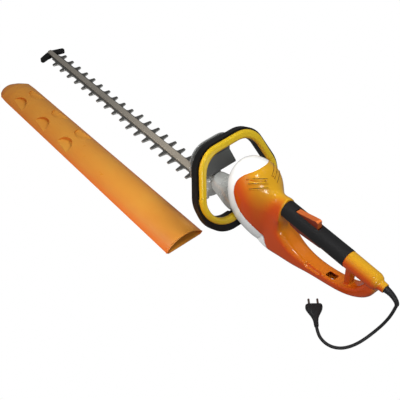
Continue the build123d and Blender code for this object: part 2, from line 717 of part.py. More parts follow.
front_side = Pos(0, 100, 0) * extrude(Plane.XZ * split_side, 200)

# White motor housing
BELL_GAP = 0.4
bell_clear = loft(
    [
        rounded_section(x, half + BELL_GAP, low - BELL_GAP, high + BELL_GAP, radius + BELL_GAP)
        for x, half, low, high, radius in BELL[2:]
    ]
)
x, half, low, high, radius = BELL[-1]
bell_end = rounded_section(x, half + BELL_GAP, low - BELL_GAP, high + BELL_GAP, radius + BELL_GAP)
bell_clear += extrude(bell_end, 12)
motor_housing = (body_out & front_side) + (bow_out & front_side)
motor_housing -= body_in
motor_housing -= bow_in
motor_housing -= floor_trim
motor_housing -= limb_notch
motor_housing -= bell_clear
write("motor_housing", motor_housing)
write("motor_frame", MOTOR * frame)

# Rear handle shells, built as the left half and mirrored
LEFT = slab(60, 700, -120, 0, -40, 260)
SWITCH_X0 = 296.0
SWITCH_X1 = 338.0
SWITCH_Z0 = 134.0
SWITCH_Z1 = 150.0
SWITCH_HALF = 8.0
TRIGGER_PIN = (283.0, 135.0)
LOCKOUT_PIN = (301.0, 157.0)
PIN_HALF = 12.3
TRIGGER_PIN_R = 2.0
LOCKOUT_PIN_R = 1.8
CLAMP_X0 = 500.0
CLAMP_X1 = 508.0
RIB_T = 4.0
BOOT_R = 6.9
SLEEVE_R = 4.5
# Shell screws as (x, z, side of the head)
SCREW_SITES = ((270.0, 133.0, -1), (372.0, 42.0, 1), (478.0, 139.0, 1), (258.0, 34.0, 1))
LOUVRES = ((180.0, 191.0), (184.0, 182.5), (190.0, 174.5))
LOUVRE_H = 2.2
TRIGGER_SLOT = slab(274, 381, -TRIGGER_HALF - 0.4, TRIGGER_HALF + 0.4, 95, 139)
LOCKOUT_SLOT = slab(293, 362, -LOCKOUT_HALF - 0.4, LOCKOUT_HALF + 0.4, 151, 200)
core_out = grip_tube(240, GRIP_REAR, CORE_R)
core_in = grip_tube(246, GRIP_REAR, CORE_R - WALL)
solid_half = (body_out & LEFT) - front_side
solid_half += (bow_out & LEFT) - front_side
solid_half += core_out & LEFT
solid_half += tail_out & LEFT
solid_half += strut & LEFT
shell_left = solid_half - (body_in & LEFT)
shell_left -= bow_in & LEFT
shell_left -= core_in & LEFT
shell_left -= tail_in & LEFT
shell_left -= floor_trim
for x, z, side in SCREW_SITES:
    shell_left += cross_rod(x, z, -60, 0, 4.5) & solid_half
for x, z in LOUVRES:
    shell_left -= slab(x, 245, -46, -9, z - LOUVRE_H / 2, z + LOUVRE_H / 2)
for x0 in (SWITCH_X0 + 3, SWITCH_X1 - 6):
    shell_left += slab(x0, x0 + 3, -30, -SWITCH_HALF, SWITCH_Z0, SWITCH_Z1) & core_in
for x0 in (CLAMP_X0 - RIB_T, CLAMP_X1):
    shell_left += slab(x0, x0 + RIB_T, -40, 0, 100, 180) & tail_in
shell_left -= GRIP * turned((200, 0), (200, SLEEVE_R + 0.3), (262, SLEEVE_R + 0.3), (262, 0))
shell_left -= GRIP * turned((262, 0), (262, BOOT_R + RUN_FIT), (300, BOOT_R + RUN_FIT), (300, 0))
shell_left -= TRIGGER_SLOT
shell_left -= LOCKOUT_SLOT
shell_left -= cross_rod(*TRIGGER_PIN, -PIN_HALF, PIN_HALF, TRIGGER_PIN_R + RUN_FIT)
shell_left -= cross_rod(*LOCKOUT_PIN, -PIN_HALF + 2.5, PIN_HALF - 2.5, LOCKOUT_PIN_R + RUN_FIT)
SLOT_X = 414.0
SLOT_Y = -3.0
cord_slot = Pos(SLOT_X, SLOT_Y, 50) * Rot(0, -15, 0) * extrude(RectangleRounded(26, 15, 3), 60, both=True)
shell_right = mirror(shell_left, Plane.XZ)
shell_left -= cord_slot
shell_right -= cord_slot
grip_sleeve = grip_tube(GRIP_FRONT, GRIP_REAR, GRIP_R) - core_out - body_out - TRIGGER_SLOT - LOCKOUT_SLOT
# Finger scoop in the upper left edge of the bow, with a solid block behind it
SCOOP_R = 8.0
scoop_block = slab(344, 394, -26, -8, 36, 64) & bow_out
scoop_line = Line((352, -20.5, 53.0), (386, -20.5, 57.0))
scoop = sweep(Plane(origin=scoop_line @ 0, z_dir=scoop_line % 0) * Circle(SCOOP_R), path=scoop_line)
for end in (scoop_line @ 0, scoop_line @ 1):
    scoop += Pos(*end) * Sphere(SCOOP_R)
shell_left += scoop_block
shell_left -= scoop
shell_left += cross_rod(*SCREW_SITES[0][:2], -60, -10, 4.7) & grip_tube(GRIP_FRONT, GRIP_REAR, GRIP_R - 0.3)

HEAD_SEAT = 8.0
THREAD_R = 1.5


def screw_bore(x, z, near, far, radius):
    return cross_rod(x, z, min(near, far), max(near, far), radius)


housing_screws = []
for x, z, side in SCREW_SITES:
    recess = screw_bore(x, z, side * HEAD_SEAT, side * 60, 3.6)
    recess += screw_bore(x, z, -side, side * (HEAD_SEAT + 1), THREAD_R + 0.1)
    thread = screw_bore(x, z, side, -side * 9, THREAD_R + RUN_FIT)
    shell_left -= recess if side < 0 else thread
    shell_right -= thread if side < 0 else recess
    grip_sleeve -= screw_bore(x, z, 0, side * 60, 5.0)
    screw_head = screw_bore(x, z, side * HEAD_SEAT, side * (HEAD_SEAT + 2.4), 3.2)
    housing_screws.append(screw_head + screw_bore(x, z, side * HEAD_SEAT, -side * 8.5, THREAD_R))
write("handle_shell_left", shell_left)
write("handle_shell_right", shell_right)
write("housing_screws", *housing_screws)
write("grip_sleeve", grip_sleeve)

# Trigger, lockout lever and switch
trigger = side_plate(
    (
        (278, 129), (278, 139), (288, 139), (294, 130), (338, 126.5),
        (374, 127), (377, 120), (372, 116), (300, 110), (283, 113),
    ),
    -TRIGGER_HALF,
    TRIGGER_HALF,
)
trigger = fillet(trigger.faces().sort_by(Axis.Z)[0].edges().filter_by(Axis.Y, reverse=True), 2.5)
trigger -= cross_rod(*TRIGGER_PIN, -20, 20, TRIGGER_PIN_R + RUN_FIT)
write("trigger", trigger)
write("trigger_pin", cross_rod(*TRIGGER_PIN, -PIN_HALF, PIN_HALF, TRIGGER_PIN_R))
lockout = side_plate(
    ((296, 153), (295, 164.5), (312, 168.5), (351, 179), (357, 178), (358, 160), (352, 157), (306, 154)),
    -LOCKOUT_HALF,
    LOCKOUT_HALF,
)
lockout -= cross_rod(*LOCKOUT_PIN, -20, 20, LOCKOUT_PIN_R + RUN_FIT)
write("lockout_lever", lockout)
write("lockout_pin", cross_rod(*LOCKOUT_PIN, -PIN_HALF + 2.5, PIN_HALF - 2.5, LOCKOUT_PIN_R))
switch = slab(SWITCH_X0, SWITCH_X1, -SWITCH_HALF, SWITCH_HALF, SWITCH_Z0, SWITCH_Z1)
write("switch_module", switch)
LEAF_T = 0.5


def leaf(x0, x1, z_low, z_high, half):
    """Folded leaf spring seen from the side as a slim Z."""
    upper = z_high - LEAF_T
    lower = z_low + LEAF_T
    outline = (
        (x0, z_high), (x1, z_high), (x1, upper), (x0 + 2.4, upper), (x1, lower), (x1, z_low),
        (x0, z_low), (x0, lower), (x1 - 2.4, lower), (x0, upper),
    )
    return side_plate(outline, -half, half)


write("trigger_spring", leaf(312, 328, 129.0, SWITCH_Z0, 4))
write("lockout_spring", leaf(316, 332, SWITCH_Z1, 154.2, 4))

# Cable clamp, bend relief boot, lead and plug
clamp = slab(CLAMP_X0, CLAMP_X1, -11, 11, 130, 146)
clamp -= GRIP * turned((200, 0), (200, SLEEVE_R + RUN_FIT), (262, SLEEVE_R + RUN_FIT), (262, 0))
write("cable_clamp", clamp)
BOOT_START = COLLAR_END - GRIP_FRONT
boot_inside = GRIP * turned(
    (230, 0),
    (230, SLEEVE_R),
    (255, SLEEVE_R),
    (255, 9.5),
    (259, 9.5),
    (259, BOOT_R),
    (BOOT_START + 3, BOOT_R),
    (BOOT_START + 3, 0),
)
boot_foot = GRIP * Pos(BOOT_START + 0.2, 0, 0)
BOOT_END = (576.0, 3.0, 114.0)
boot_rings = (
    (boot_foot.position, (1.0, 0.0, -0.032), BOOT_R + 1.0),
    ((558.0, 0.5, 134.8), (0.95, 0.04, -0.31), 6.4),
    ((568.0, 1.5, 128.5), (0.72, 0.08, -0.69), 5.6),
    ((574.5, 2.5, 120.0), (0.3, 0.03, -0.95), 4.9),
    (BOOT_END, (-0.106, -0.071, -0.992), 4.5),
)
boot_outside = loft([Plane(origin=o, z_dir=d) * Circle(r) for o, d, r in boot_rings])
write("cable_boot", boot_inside + boot_outside)
PLUG_ENTRY = (461.0, -94.0, 9.0)
PLUG_TURN = 140.85
CORD_ROUTE = (
    BOOT_END,
    (573.0, 1.0, 86.0),
    (563.0, -5.0, 46.0),
    (553.0, -22.0, 18.0),
    (547.0, -48.0, 5.5),
    (541.0, -74.0, 4.0),
    (530.0, -95.0, 4.0),
    (511.0, -107.5, 4.0),
    (488.0, -108.5, 5.0),
    (470.0, -101.0, 8.0),
    PLUG_ENTRY,
)


def bend_radii(points):
    found = []
    for before, here, after in zip(points, points[1:], points[2:]):
        first = Vector(*here) - Vector(*before)
        second = Vector(*after) - Vector(*here)
        half_turn = math.radians(first.get_angle(second)) / 2
        found.append(0.45 * min(first.length, second.length) / math.tan(half_turn))
    return found


cord_radii = bend_radii(CORD_ROUTE)
cord_path = FilletPolyline(*CORD_ROUTE, radius=cord_radii)
mains_cord = sweep(Plane(origin=cord_path @ 0, z_dir=cord_path % 0) * Circle(CORD_R), path=cord_path)
write("mains_cord", mains_cord)
PLUG = Location(PLUG_ENTRY, (0, 0, PLUG_TURN))
plug_rows = ((0.0, 4.6, 4.6), (14.0, 5.6, 5.2), (28.0, 9.5, 6.8), (42.0, 16.5, 8.4), (54.0, 18.0, 8.9))
plug_body = loft([rounded_section(x, half, -tall, tall, 0.8 * tall) for x, half, tall in plug_rows])
PLUG_FACE = plug_rows[-1][0]
plug_pins = []
for y in (-PIN_SPACING / 2, PIN_SPACING / 2):
    bore = Pos(0, y, 0) * turned(
        (PLUG_FACE - 8, 0), (PLUG_FACE - 8, PIN_ROOT_R), (PLUG_FACE + 1, PIN_ROOT_R), (PLUG_FACE + 1, 0)
    )
    plug_body -= bore
    pin = Pos(0, y, 0) * turned(
        (PLUG_FACE - 8, 0), (PLUG_FACE - 8, PIN_ROOT_R), (PLUG_FACE, PIN_ROOT_R), (PLUG_FACE, PIN_R),
        (PLUG_FACE + PIN_LENGTH - 1.5, PIN_R), (PLUG_FACE + PIN_LENGTH, 1.2), (PLUG_FACE + PIN_LENGTH, 0),
    )
    plug_pins.append(PLUG * pin)
write("plug_body", PLUG * plug_body)
write("plug_pins", *plug_pins)

# Front loop handle in its leaning plane
def mirrored_face(corners):
    """Upright face with mirrored corners (half width, height, corner radius)."""
    right = [(y, v) for y, v, _ in corners]
    left = [(-y, v) for y, v, _ in reversed(corners)]
    plane = Plane(origin=(0, 0, 0), x_dir=(0, 1, 0), z_dir=(1, 0, 0))
    face = make_face(Polyline(*right, *left, close=True))
    for y, v, radius in corners:
        ends = [p for p in face.vertices() if abs(abs(p.X) - y) < 0.01 and abs(p.Y - v) < 0.01]
        face = fillet(ends, radius)
    return plane * face


def loop_ring(outer, inner, x0, x1):
    return Pos(x0, 0, 0) * extrude(mirrored_face(outer) - mirrored_face(inner), x1 - x0)


cover_ring = loop_ring(OUTER, INNER, LOOP_BACK - LOOP_DEPTH, LOOP_BACK)
cover_ring = fillet(cover_ring.faces().sort_by(Axis.X)[-1].edges(), 7.0)
rim_ring = loop_ring(RIM, INNER, LOOP_BACK - LOOP_DEPTH - RIM_DEPTH, LOOP_BACK - LOOP_DEPTH)
rim_ring = fillet(rim_ring.faces().sort_by(Axis.X)[0].edges(), 6.0)
SEAM_GAP = 0.8
fixed_part = cover_ring & slab(-60, 40, -140, 140, -60, SEAM_V)
moving_part = cover_ring & slab(-60, 40, -140, 140, SEAM_V + SEAM_GAP, 240)
moving_part -= slab(-60, LOOP_BACK - LOOP_DEPTH + BAR_TRAVEL + 0.5, -140, 140, 0, 240)
FACE_X = LOOP_BACK - LOOP_DEPTH
RIM_FRONT = FACE_X - RIM_DEPTH
head_room = slab(-60, 40, -36, 36, LIMB_TOP_V, 60) + slab(FACE_X, 40, -26, 26, LIMB_TOP_V - 4, 60)
rim_ring -= head_room
fixed_part -= head_room


def along(x0, x1, y, v, radius):
    """Rod along the loop normal."""
    return Pos((x0 + x1) / 2, y, v) * Rot(0, 90, 0) * Cylinder(radius, x1 - x0)


SINK_X = RIM_FRONT + 7
loop_screws = []
for y, v in ((-108.0, 72.0), (-44.0, 14.5), (44.0, 14.5), (108.0, 72.0)):
    rim_ring -= along(RIM_FRONT - 1, SINK_X, y, v, SINK_R)
    rim_ring -= along(RIM_FRONT, FACE_X + 1, y, v, SCREW_R + RUN_FIT)
    fixed_part -= along(FACE_X - 1, FACE_X + 9, y, v, SCREW_R + RUN_FIT)
    screw_head = along(SINK_X - SCREW_HEAD_H, SINK_X, y, v, SUNK_HEAD_R)
    loop_screws.append(screw_head + along(SINK_X, FACE_X + 8, y, v, SCREW_R))
guide_pins = []
for y in (-28.0, 28.0):
    rim_ring -= along(FACE_X - 9, FACE_X + 1, y, 187.0, SCREW_R + RUN_FIT)
    moving_part -= along(FACE_X, FACE_X + 9, y, 187.0, SCREW_R + 0.08)
    guide_pins.append(along(FACE_X - 9, FACE_X + 6, y, 187.0, SCREW_R))
pocket = slab(FACE_X - 9, FACE_X, -13, 13, 178, 194)
rim_ring -= pocket
write("front_switch", LOOP * pocket)


def upright(y, v0, v1, radius):
    """Rod up the loop plane through its lower limb."""
    return Pos(-8, y, (v0 + v1) / 2) * Cylinder(radius, v1 - v0)


FOOT_SEAT_V = 6.0
foot_screws = []
for y in (-11.0, 11.0):
    rim_ring -= upright(y, -20, FOOT_SEAT_V, SINK_R) + upright(y, -20, 40, SCREW_R + RUN_FIT)
    gear_housing -= LOOP * upright(y, -10, 27, SCREW_R + RUN_FIT)
    screw_head = upright(y, FOOT_SEAT_V - SCREW_HEAD_H, FOOT_SEAT_V, SUNK_HEAD_R)
    foot_screws.append(LOOP * (screw_head + upright(y, FOOT_SEAT_V, 26, SCREW_R)))
write("foot_screws", *foot_screws)
write("gear_housing", gear_housing)
write("loop_frame", LOOP * rim_ring)
write("loop_cover", LOOP * fixed_part)
write("switch_bar", LOOP * moving_part)
write("loop_screws", *[LOOP * screw for screw in loop_screws])
write("bar_guide_pins", *[LOOP * pin for pin in guide_pins])

# Hand guard on the gear head: an upright pane with a shelf that sweeps back over the head
GUARD_X = 8.0
GUARD_T = 3.0
GUARD_OUTLINE = ((58, 175, 20), (58, 88, 4), (37, 88, 4), (37, HEAD_TOP, 2))
SHELF_TOP = 114.0
SHELF_REAR = 36.0
SHELF_END = 92.0
pane_rear = GUARD_X + GUARD_T
shelf_drop = math.atan2(SHELF_TOP - SHELF_END, SHELF_REAR - pane_rear)
shelf_rise = GUARD_T / math.cos(shelf_drop)
guard_side = side_plate(
    (
        (GUARD_X, HEAD_TOP - 1),
        (GUARD_X, GUARD_OUTLINE[0][1] + 1),
        (pane_rear, GUARD_OUTLINE[0][1] + 1),
        (pane_rear, SHELF_TOP),
        (SHELF_REAR, SHELF_END),
        (SHELF_REAR, SHELF_END - shelf_rise),
        (pane_rear, SHELF_TOP - shelf_rise),
        (pane_rear, HEAD_TOP - 1),
    ),
    -70,
    70,
)
guard_side = fillet([e for e in guard_side.edges().filter_by(Axis.Y) if e.center().X > GUARD_X + 1], 1.0)
hand_guard = guard_side & (Pos(GUARD_X - 1, 0, 0) * extrude(mirrored_face(GUARD_OUTLINE), 40))
guard_screws = []
TAB_TOP = HEAD_TOP + GUARD_T
for y in (-GUARD_SCREW_Y, GUARD_SCREW_Y):
    hand_guard += slab(-8, GUARD_X + 1, y - 7, y + 7, HEAD_TOP, TAB_TOP)
    hand_guard -= post(GUARD_SCREW_X, y, HEAD_TOP - 1, TAB_TOP + 1, SCREW_R + RUN_FIT)
    screw_head = post(GUARD_SCREW_X, y, TAB_TOP, TAB_TOP + SCREW_HEAD_H, SCREW_HEAD_R)
    guard_screws.append(screw_head + post(GUARD_SCREW_X, y, ROOF_Z + 1, TAB_TOP, SCREW_R))
write("guard_screws", *guard_screws)
write("hand_guard", hand_guard)

# Scabbard: lens section, open at the mouth
def lens(x, middle, half, tall, lift=0.0, skin=0.0):
    plane = Plane(origin=(x, middle, lift), x_dir=(0, 1, 0), z_dir=(1, 0, 0))
    arc = ThreePointArc((-half + skin, 5), (0, tall - skin), (half - skin, 5))
    base = Polyline(arc @ 1, (half - skin - 6, skin), (-half + skin + 6, skin), arc @ 0)
    return plane * make_face(arc + base)


scab_rows = (
    (SCAB_TIP, SCAB_Y - 4, 19.0, 11.0),
    (SCAB_TIP + 9, SCAB_Y - 2, 32.0, 15.0),
    (SCAB_TIP + 24, SCAB_Y + 1, 43.5, 20.0),
    (SCAB_TIP + 50, SCAB_Y + 1, 45.5, 24.0),
    (SCAB_MOUTH, SCAB_Y, 53.0, 31.0),
)
SCAB_END_WALL = 4.0
room_rows = [(x + SCAB_END_WALL, *row) for x, *row in scab_rows[:-1]]
room_rows.append((SCAB_MOUTH + 1, *scab_rows[-1][1:]))
scabbard = loft([lens(*row) for row in scab_rows], ruled=True)
scab_room = loft([lens(*row, skin=SCAB_WALL) for row in room_rows], ruled=True)
THUMB_R = 24.0
THUMB_TILT = 5.0
THUMB_FLOOR = 15.0


def thumb_recess(x, side, skin):
    """Round recess whose floor dips to the rear."""
    seat = Location((x, SCAB_Y + side * 32, THUMB_FLOOR - skin), (0, THUMB_TILT, 0))
    return seat * post(0, 0, 0, 40, THUMB_R + skin)


for x in (-556.0, -449.0, -345.0):
    for side in (-1, 1):
        scabbard -= thumb_recess(x, side, 0.0)
        scab_room -= thumb_recess(x, side, SCAB_WALL)
write("scabbard", scabbard - scab_room)
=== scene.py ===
# %% [markdown]
# # Corded hedge trimmer
# The tool lies on a pale floor with its blade scabbard beside it and its mains lead curled behind the handle.
# The frame brings every rigid piece at its true size. This lesson adds what the frame lacks:
# the camera and light, the finishes, and the fine pieces that only show up close.

# %% Load the frame
import json
import math

import bmesh
import bpy
from mathutils import Matrix, Vector
from mathutils.bvhtree import BVHTree


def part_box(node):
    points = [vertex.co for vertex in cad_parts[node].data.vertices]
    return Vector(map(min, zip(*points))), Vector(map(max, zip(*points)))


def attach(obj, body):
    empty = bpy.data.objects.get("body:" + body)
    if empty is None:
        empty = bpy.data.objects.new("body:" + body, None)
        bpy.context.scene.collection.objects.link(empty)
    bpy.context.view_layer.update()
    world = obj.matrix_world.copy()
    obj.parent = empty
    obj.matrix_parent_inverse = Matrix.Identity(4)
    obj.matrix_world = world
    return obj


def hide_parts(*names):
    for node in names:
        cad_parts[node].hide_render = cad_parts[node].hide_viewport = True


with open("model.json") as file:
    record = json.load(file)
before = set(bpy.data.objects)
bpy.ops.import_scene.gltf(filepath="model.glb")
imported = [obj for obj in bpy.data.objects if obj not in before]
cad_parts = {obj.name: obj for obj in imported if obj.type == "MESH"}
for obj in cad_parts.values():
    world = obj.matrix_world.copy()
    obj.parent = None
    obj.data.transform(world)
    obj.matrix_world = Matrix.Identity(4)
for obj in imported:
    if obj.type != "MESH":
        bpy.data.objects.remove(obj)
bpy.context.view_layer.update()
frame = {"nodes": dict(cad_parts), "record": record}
NODES = frame["nodes"]
MM = 0.001
print("frame nodes:", len(NODES))

# %% [markdown]
# The tool is seen from above, behind and to the left of its handle, through a long lens
# a little over a metre and a half up. A camera could be aimed with angles. Its three axes are written
# as the columns of its matrix instead, because that leaves nothing to guess about roll.

# %% Camera
EYE = Vector((1.16595, -1.01338, 1.54285))
AHEAD = Vector((-0.5335, 0.4531, -0.7142)).normalized()
FOCAL_LENGTH = 81.0
SENSOR_WIDTH = 36.0
FAR_LIMIT = 50.0


def placed(name, data):
    piece = bpy.data.objects.new(name, data)
    bpy.context.scene.collection.objects.link(piece)
    return piece


rightward = AHEAD.cross(Vector((0, 0, 1))).normalized()
upward = rightward.cross(AHEAD)
lens = bpy.data.cameras.new("photo_lens")
lens.lens = FOCAL_LENGTH
lens.sensor_width = SENSOR_WIDTH
lens.clip_end = FAR_LIMIT
camera = placed("photo_camera", lens)
camera.matrix_world = Matrix.Translation(EYE) @ Matrix((rightward, upward, -AHEAD)).transposed().to_4x4()
bpy.context.scene.camera = camera
print("camera height in metres:", round(EYE.z, 3))

# %% [markdown]
# Large soft lamps stand for a studio's light tents. The key lamp is high on the tool's right, a weaker one
# stands behind it, and two light its left side, one from afar and one from near the front.
# They light the surfaces but aren't mirrored in them, because wide lamps would wash out a glossy shell.
# Two small lamps are mirrored, and make the highlights on the crown, the loop and the tail.

# %% Lamps
TOOL_MIDDLE = (0.1, 0, 0.1)


def soft_lamp(name, place, target, size, watts, mirrored=False):
    data = bpy.data.lights.new(name, "AREA")
    data.shape = "RECTANGLE"
    data.size, data.size_y = size
    data.energy = watts
    lamp = placed(name, data)
    lamp.location = place
    lamp.rotation_euler = (Vector(target) - Vector(place)).to_track_quat("-Z", "Y").to_euler()
    lamp.visible_glossy = mirrored
    print(name, watts, "watts")


soft_lamp("key_lamp", (0.5, 1.0, 2.2), TOOL_MIDDLE, (1.1, 0.9), 36)
soft_lamp("rear_lamp", (1.6, -0.5, 1.8), TOOL_MIDDLE, (0.8, 0.8), 13)
soft_lamp("left_lamp", (-0.9, -1.8, 1.3), TOOL_MIDDLE, (1.4, 1.0), 9)
soft_lamp("front_lamp", (-0.05, -0.55, 0.45), (0.2, 0, 0.12), (0.3, 0.3), 2.5)
soft_lamp("gloss_lamp", (0.61, -0.73, 2.0), (0.2, 0, 0.2), (0.36, 0.24), 9, mirrored=True)
soft_lamp("rear_gloss_lamp", (1.85, -0.9, 0.8), (0.2, 0, 0.15), (0.4, 0.3), 6, mirrored=True)

# %% [markdown]
# The backdrop is pure white to the eye, but a white world would light every shadow away.
# So it is white only where the camera sees it directly, and dim where it lights the tool.

# %% Backdrop
AMBIENT = 0.18
world = bpy.data.worlds.new("studio")
world.use_nodes = True
world_tree = world.node_tree
backdrop = world_tree.nodes["Background"]
backdrop.inputs["Color"].default_value = (1, 1, 1, 1)
seen_directly = world_tree.nodes.new("ShaderNodeLightPath").outputs["Is Camera Ray"]
brightness = world_tree.nodes.new("ShaderNodeMapRange")
brightness.inputs["To Min"].default_value = AMBIENT
brightness.inputs["To Max"].default_value = 1.0
world_tree.links.new(seen_directly, brightness.inputs["Value"])
world_tree.links.new(brightness.outputs[0], backdrop.inputs["Strength"])
bpy.context.scene.world = world
bpy.context.scene.view_settings.view_transform = "Standard"
print("ambient light:", AMBIENT)

# %% [markdown]
# Every finish is a node tree. A few small helpers keep the trees readable: one adds a node and fills its
# sockets, three wrap the nodes used most, one reads a coordinate, and one starts a group.

# %% Node helpers
FLOAT = "NodeSocketFloat"
COLOUR = "NodeSocketColor"


def node(tree, kind, sockets=None, **settings):
    made = tree.nodes.new(kind)
    for name, value in settings.items():
        setattr(made, name, value)
    for name, value in (sockets or {}).items():
        if isinstance(value, bpy.types.NodeSocket):
            tree.links.new(value, made.inputs[name])
        else:
            made.inputs[name].default_value = value
    return made


def math_node(tree, operation, a, b=0.0, clamp=False):
    return node(tree, "ShaderNodeMath", {0: a, 1: b}, operation=operation, use_clamp=clamp).outputs[0]


def blend_colour(tree, share, a, b, kind="MIX"):
    return node(tree, "ShaderNodeMix", {0: share, 6: a, 7: b}, data_type="RGBA", blend_type=kind).outputs[2]


def eased(tree, value, start, end):
    sockets = {"Value": value, "From Min": start, "From Max": end}
    return node(tree, "ShaderNodeMapRange", sockets, interpolation_type="SMOOTHSTEP").outputs[0]


def coordinate(tree, kind, axis):
    whole = node(tree, "ShaderNodeTexCoord").outputs[kind]
    return node(tree, "ShaderNodeSeparateXYZ", {0: whole}).outputs[axis]


def start_group(name, inputs, outputs):
    tree = bpy.data.node_groups.new(name, "ShaderNodeTree")
    for label, kind, value in inputs:
        socket = tree.interface.new_socket(label, in_out="INPUT", socket_type=kind)
        socket.default_value = value
    for label, kind in outputs:
        tree.interface.new_socket(label, in_out="OUTPUT", socket_type=kind)
    print("shader group:", name)
    return tree, tree.nodes.new("NodeGroupInput").outputs, tree.nodes.new("NodeGroupOutput").inputs


# %% [markdown]
# Moulded plastic is never one flat colour: the melt leaves faint clouds, the mould leaves a fine grain,
# and handling leaves a few duller patches. One group makes all three, and each plastic sets its own amounts.

# %% Moulded skin group
CLOUD_SCALE = 14.0
RUB_SCALE = 38.0
RUB_MIDDLE = 0.45
skin, skin_in, skin_out = start_group(
    "Moulded skin",
    [
        ("Colour", COLOUR, (0.8, 0.8, 0.8, 1)),
        ("Cloud colour", COLOUR, (0.7, 0.7, 0.7, 1)),
        ("Cloud amount", FLOAT, 0.3),
        ("Roughness", FLOAT, 0.3),
        ("Rub", FLOAT, 0.1),
        ("Grain size", FLOAT, 900.0),
    ],
    [("Colour", COLOUR), ("Roughness", FLOAT), ("Height", FLOAT)],
)
place = node(skin, "ShaderNodeTexCoord").outputs["Object"]


def skin_noise(scale, detail, **more):
    sockets = {"Vector": place, "Scale": scale, "Detail": detail, **more}
    return node(skin, "ShaderNodeTexNoise", sockets).outputs["Fac"]


clouds = skin_noise(CLOUD_SCALE, 4.0, Roughness=0.6)
cloud_share = math_node(skin, "MULTIPLY", clouds, skin_in["Cloud amount"], clamp=True)
clouded = blend_colour(skin, cloud_share, skin_in["Colour"], skin_in["Cloud colour"])
skin.links.new(clouded, skin_out["Colour"])
rubs = math_node(skin, "SUBTRACT", skin_noise(RUB_SCALE, 6.0, Roughness=0.7), RUB_MIDDLE)
rub_share = math_node(skin, "MULTIPLY", rubs, skin_in["Rub"])
skin.links.new(math_node(skin, "ADD", skin_in["Roughness"], rub_share, clamp=True), skin_out["Roughness"])
skin.links.new(skin_noise(skin_in["Grain size"], 2.0), skin_out["Height"])

# %% [markdown]
# Bright plastic gets painted light and shade here: yellower where it faces the light, and redder where it
# turns away or lies low, with a painted shadow low down. The group mixes a shade colour and a lit colour by
# how far the surface leans up and back, and by its height above the floor.

# %% Painted light and shade group
LIGHT_SIDE = (0.55, 0.25, 0.8)
LOW_SHARE = 0.35
painted_light_tree, painted_light_in, painted_light_out = start_group(
    "Painted light and shade",
    [
        ("Shade", COLOUR, (0.5, 0.07, 0.004, 1)),
        ("Lit", COLOUR, (0.7, 0.3, 0.02, 1)),
        ("Start", FLOAT, -0.1),
        ("End", FLOAT, 0.9),
        ("Low", FLOAT, 0.06),
        ("High", FLOAT, 0.15),
    ],
    [("Colour", COLOUR)],
)
# Painted light and shade: the lit colour goes where the surface leans towards LIGHT_SIDE, and low surfaces
# keep a painted shadow.
facing = node(painted_light_tree, "ShaderNodeTexCoord").outputs["Normal"]
lean = node(painted_light_tree, "ShaderNodeVectorMath", {0: facing, 1: LIGHT_SIDE}, operation="DOT_PRODUCT").outputs["Value"]
height = eased(painted_light_tree, coordinate(painted_light_tree, "Object", "Z"), painted_light_in["Low"], painted_light_in["High"])
lift = {0: height, 1: 1 - LOW_SHARE, 2: LOW_SHARE}
raised = node(painted_light_tree, "ShaderNodeMath", lift, operation="MULTIPLY_ADD").outputs[0]
lit_share = math_node(painted_light_tree, "MULTIPLY", eased(painted_light_tree, lean, painted_light_in["Start"], painted_light_in["End"]), raised)
painted_light_tree.links.new(blend_colour(painted_light_tree, lit_share, painted_light_in["Shade"], painted_light_in["Lit"]), painted_light_out["Colour"])

# %% [markdown]
# Most of the tool is injection-moulded plastic. A plain plastic needs one colour and its clouds.
# A bright one, such as the orange of the body, first takes a colour with painted light and shade from the
# tint group.
# Both could be written out for each finish, but two functions keep the finishes alike.

# %% Plastic makers
PLASTIC_IOR = 1.5


def principled(name, **plain):
    material = bpy.data.materials.new(name)
    material.use_nodes = True
    shader = material.node_tree.nodes["Principled BSDF"]
    for label, value in plain.items():
        shader.inputs[label.replace("_", " ")].default_value = value
    print("finish:", name)
    return material, material.node_tree, shader


def feed_bump(tree, shader, relief, depth):
    bump = node(tree, "ShaderNodeBump", {"Height": relief, "Distance": depth, "Strength": 1.0})
    tree.links.new(bump.outputs["Normal"], shader.inputs["Normal"])


def plastic(name, colour, cloud, amount=0.35, rough=0.3, rub=0.15, grain=900.0, depth=0.00001, **plain):
    material, tree, shader = principled(name, **{"IOR": PLASTIC_IOR, **plain})
    group = node(tree, "ShaderNodeGroup", node_tree=skin)
    for label, value in (
        ("Colour", (*colour, 1)),
        ("Cloud colour", (*cloud, 1)),
        ("Cloud amount", amount),
        ("Roughness", rough),
        ("Rub", rub),
        ("Grain size", grain),
    ):
        group.inputs[label].default_value = value
    tree.links.new(group.outputs["Colour"], shader.inputs["Base Color"])
    tree.links.new(group.outputs["Roughness"], shader.inputs["Roughness"])
    feed_bump(tree, shader, group.outputs["Height"], depth)
    return material


def skin_of(material):
    return next(n for n in material.node_tree.nodes if n.type == "GROUP" and n.node_tree == skin)


# This maker paints light and shade into the colour: the lit and shade colours go through the tint group.
def painted_light_plastic(
    name, shade, lit, start=-0.1, end=0.9, low=-1.0, high=-0.5, mottle=(0.8, 0.72, 0.7), **rest
):
    material = plastic(name, lit, lit, **rest)
    tree = material.node_tree
    tint = node(tree, "ShaderNodeGroup", node_tree=painted_light_tree)
    reach = {"Start": start, "End": end, "Low": low, "High": high}
    for label, value in {"Shade": (*shade, 1), "Lit": (*lit, 1), **reach}.items():
        tint.inputs[label].default_value = value
    colour = tint.outputs["Colour"]
    moulded = skin_of(material)
    tree.links.new(colour, moulded.inputs["Colour"])
    tree.links.new(blend_colour(tree, 1.0, colour, (*mottle, 1), "MULTIPLY"), moulded.inputs["Cloud colour"])
    return material
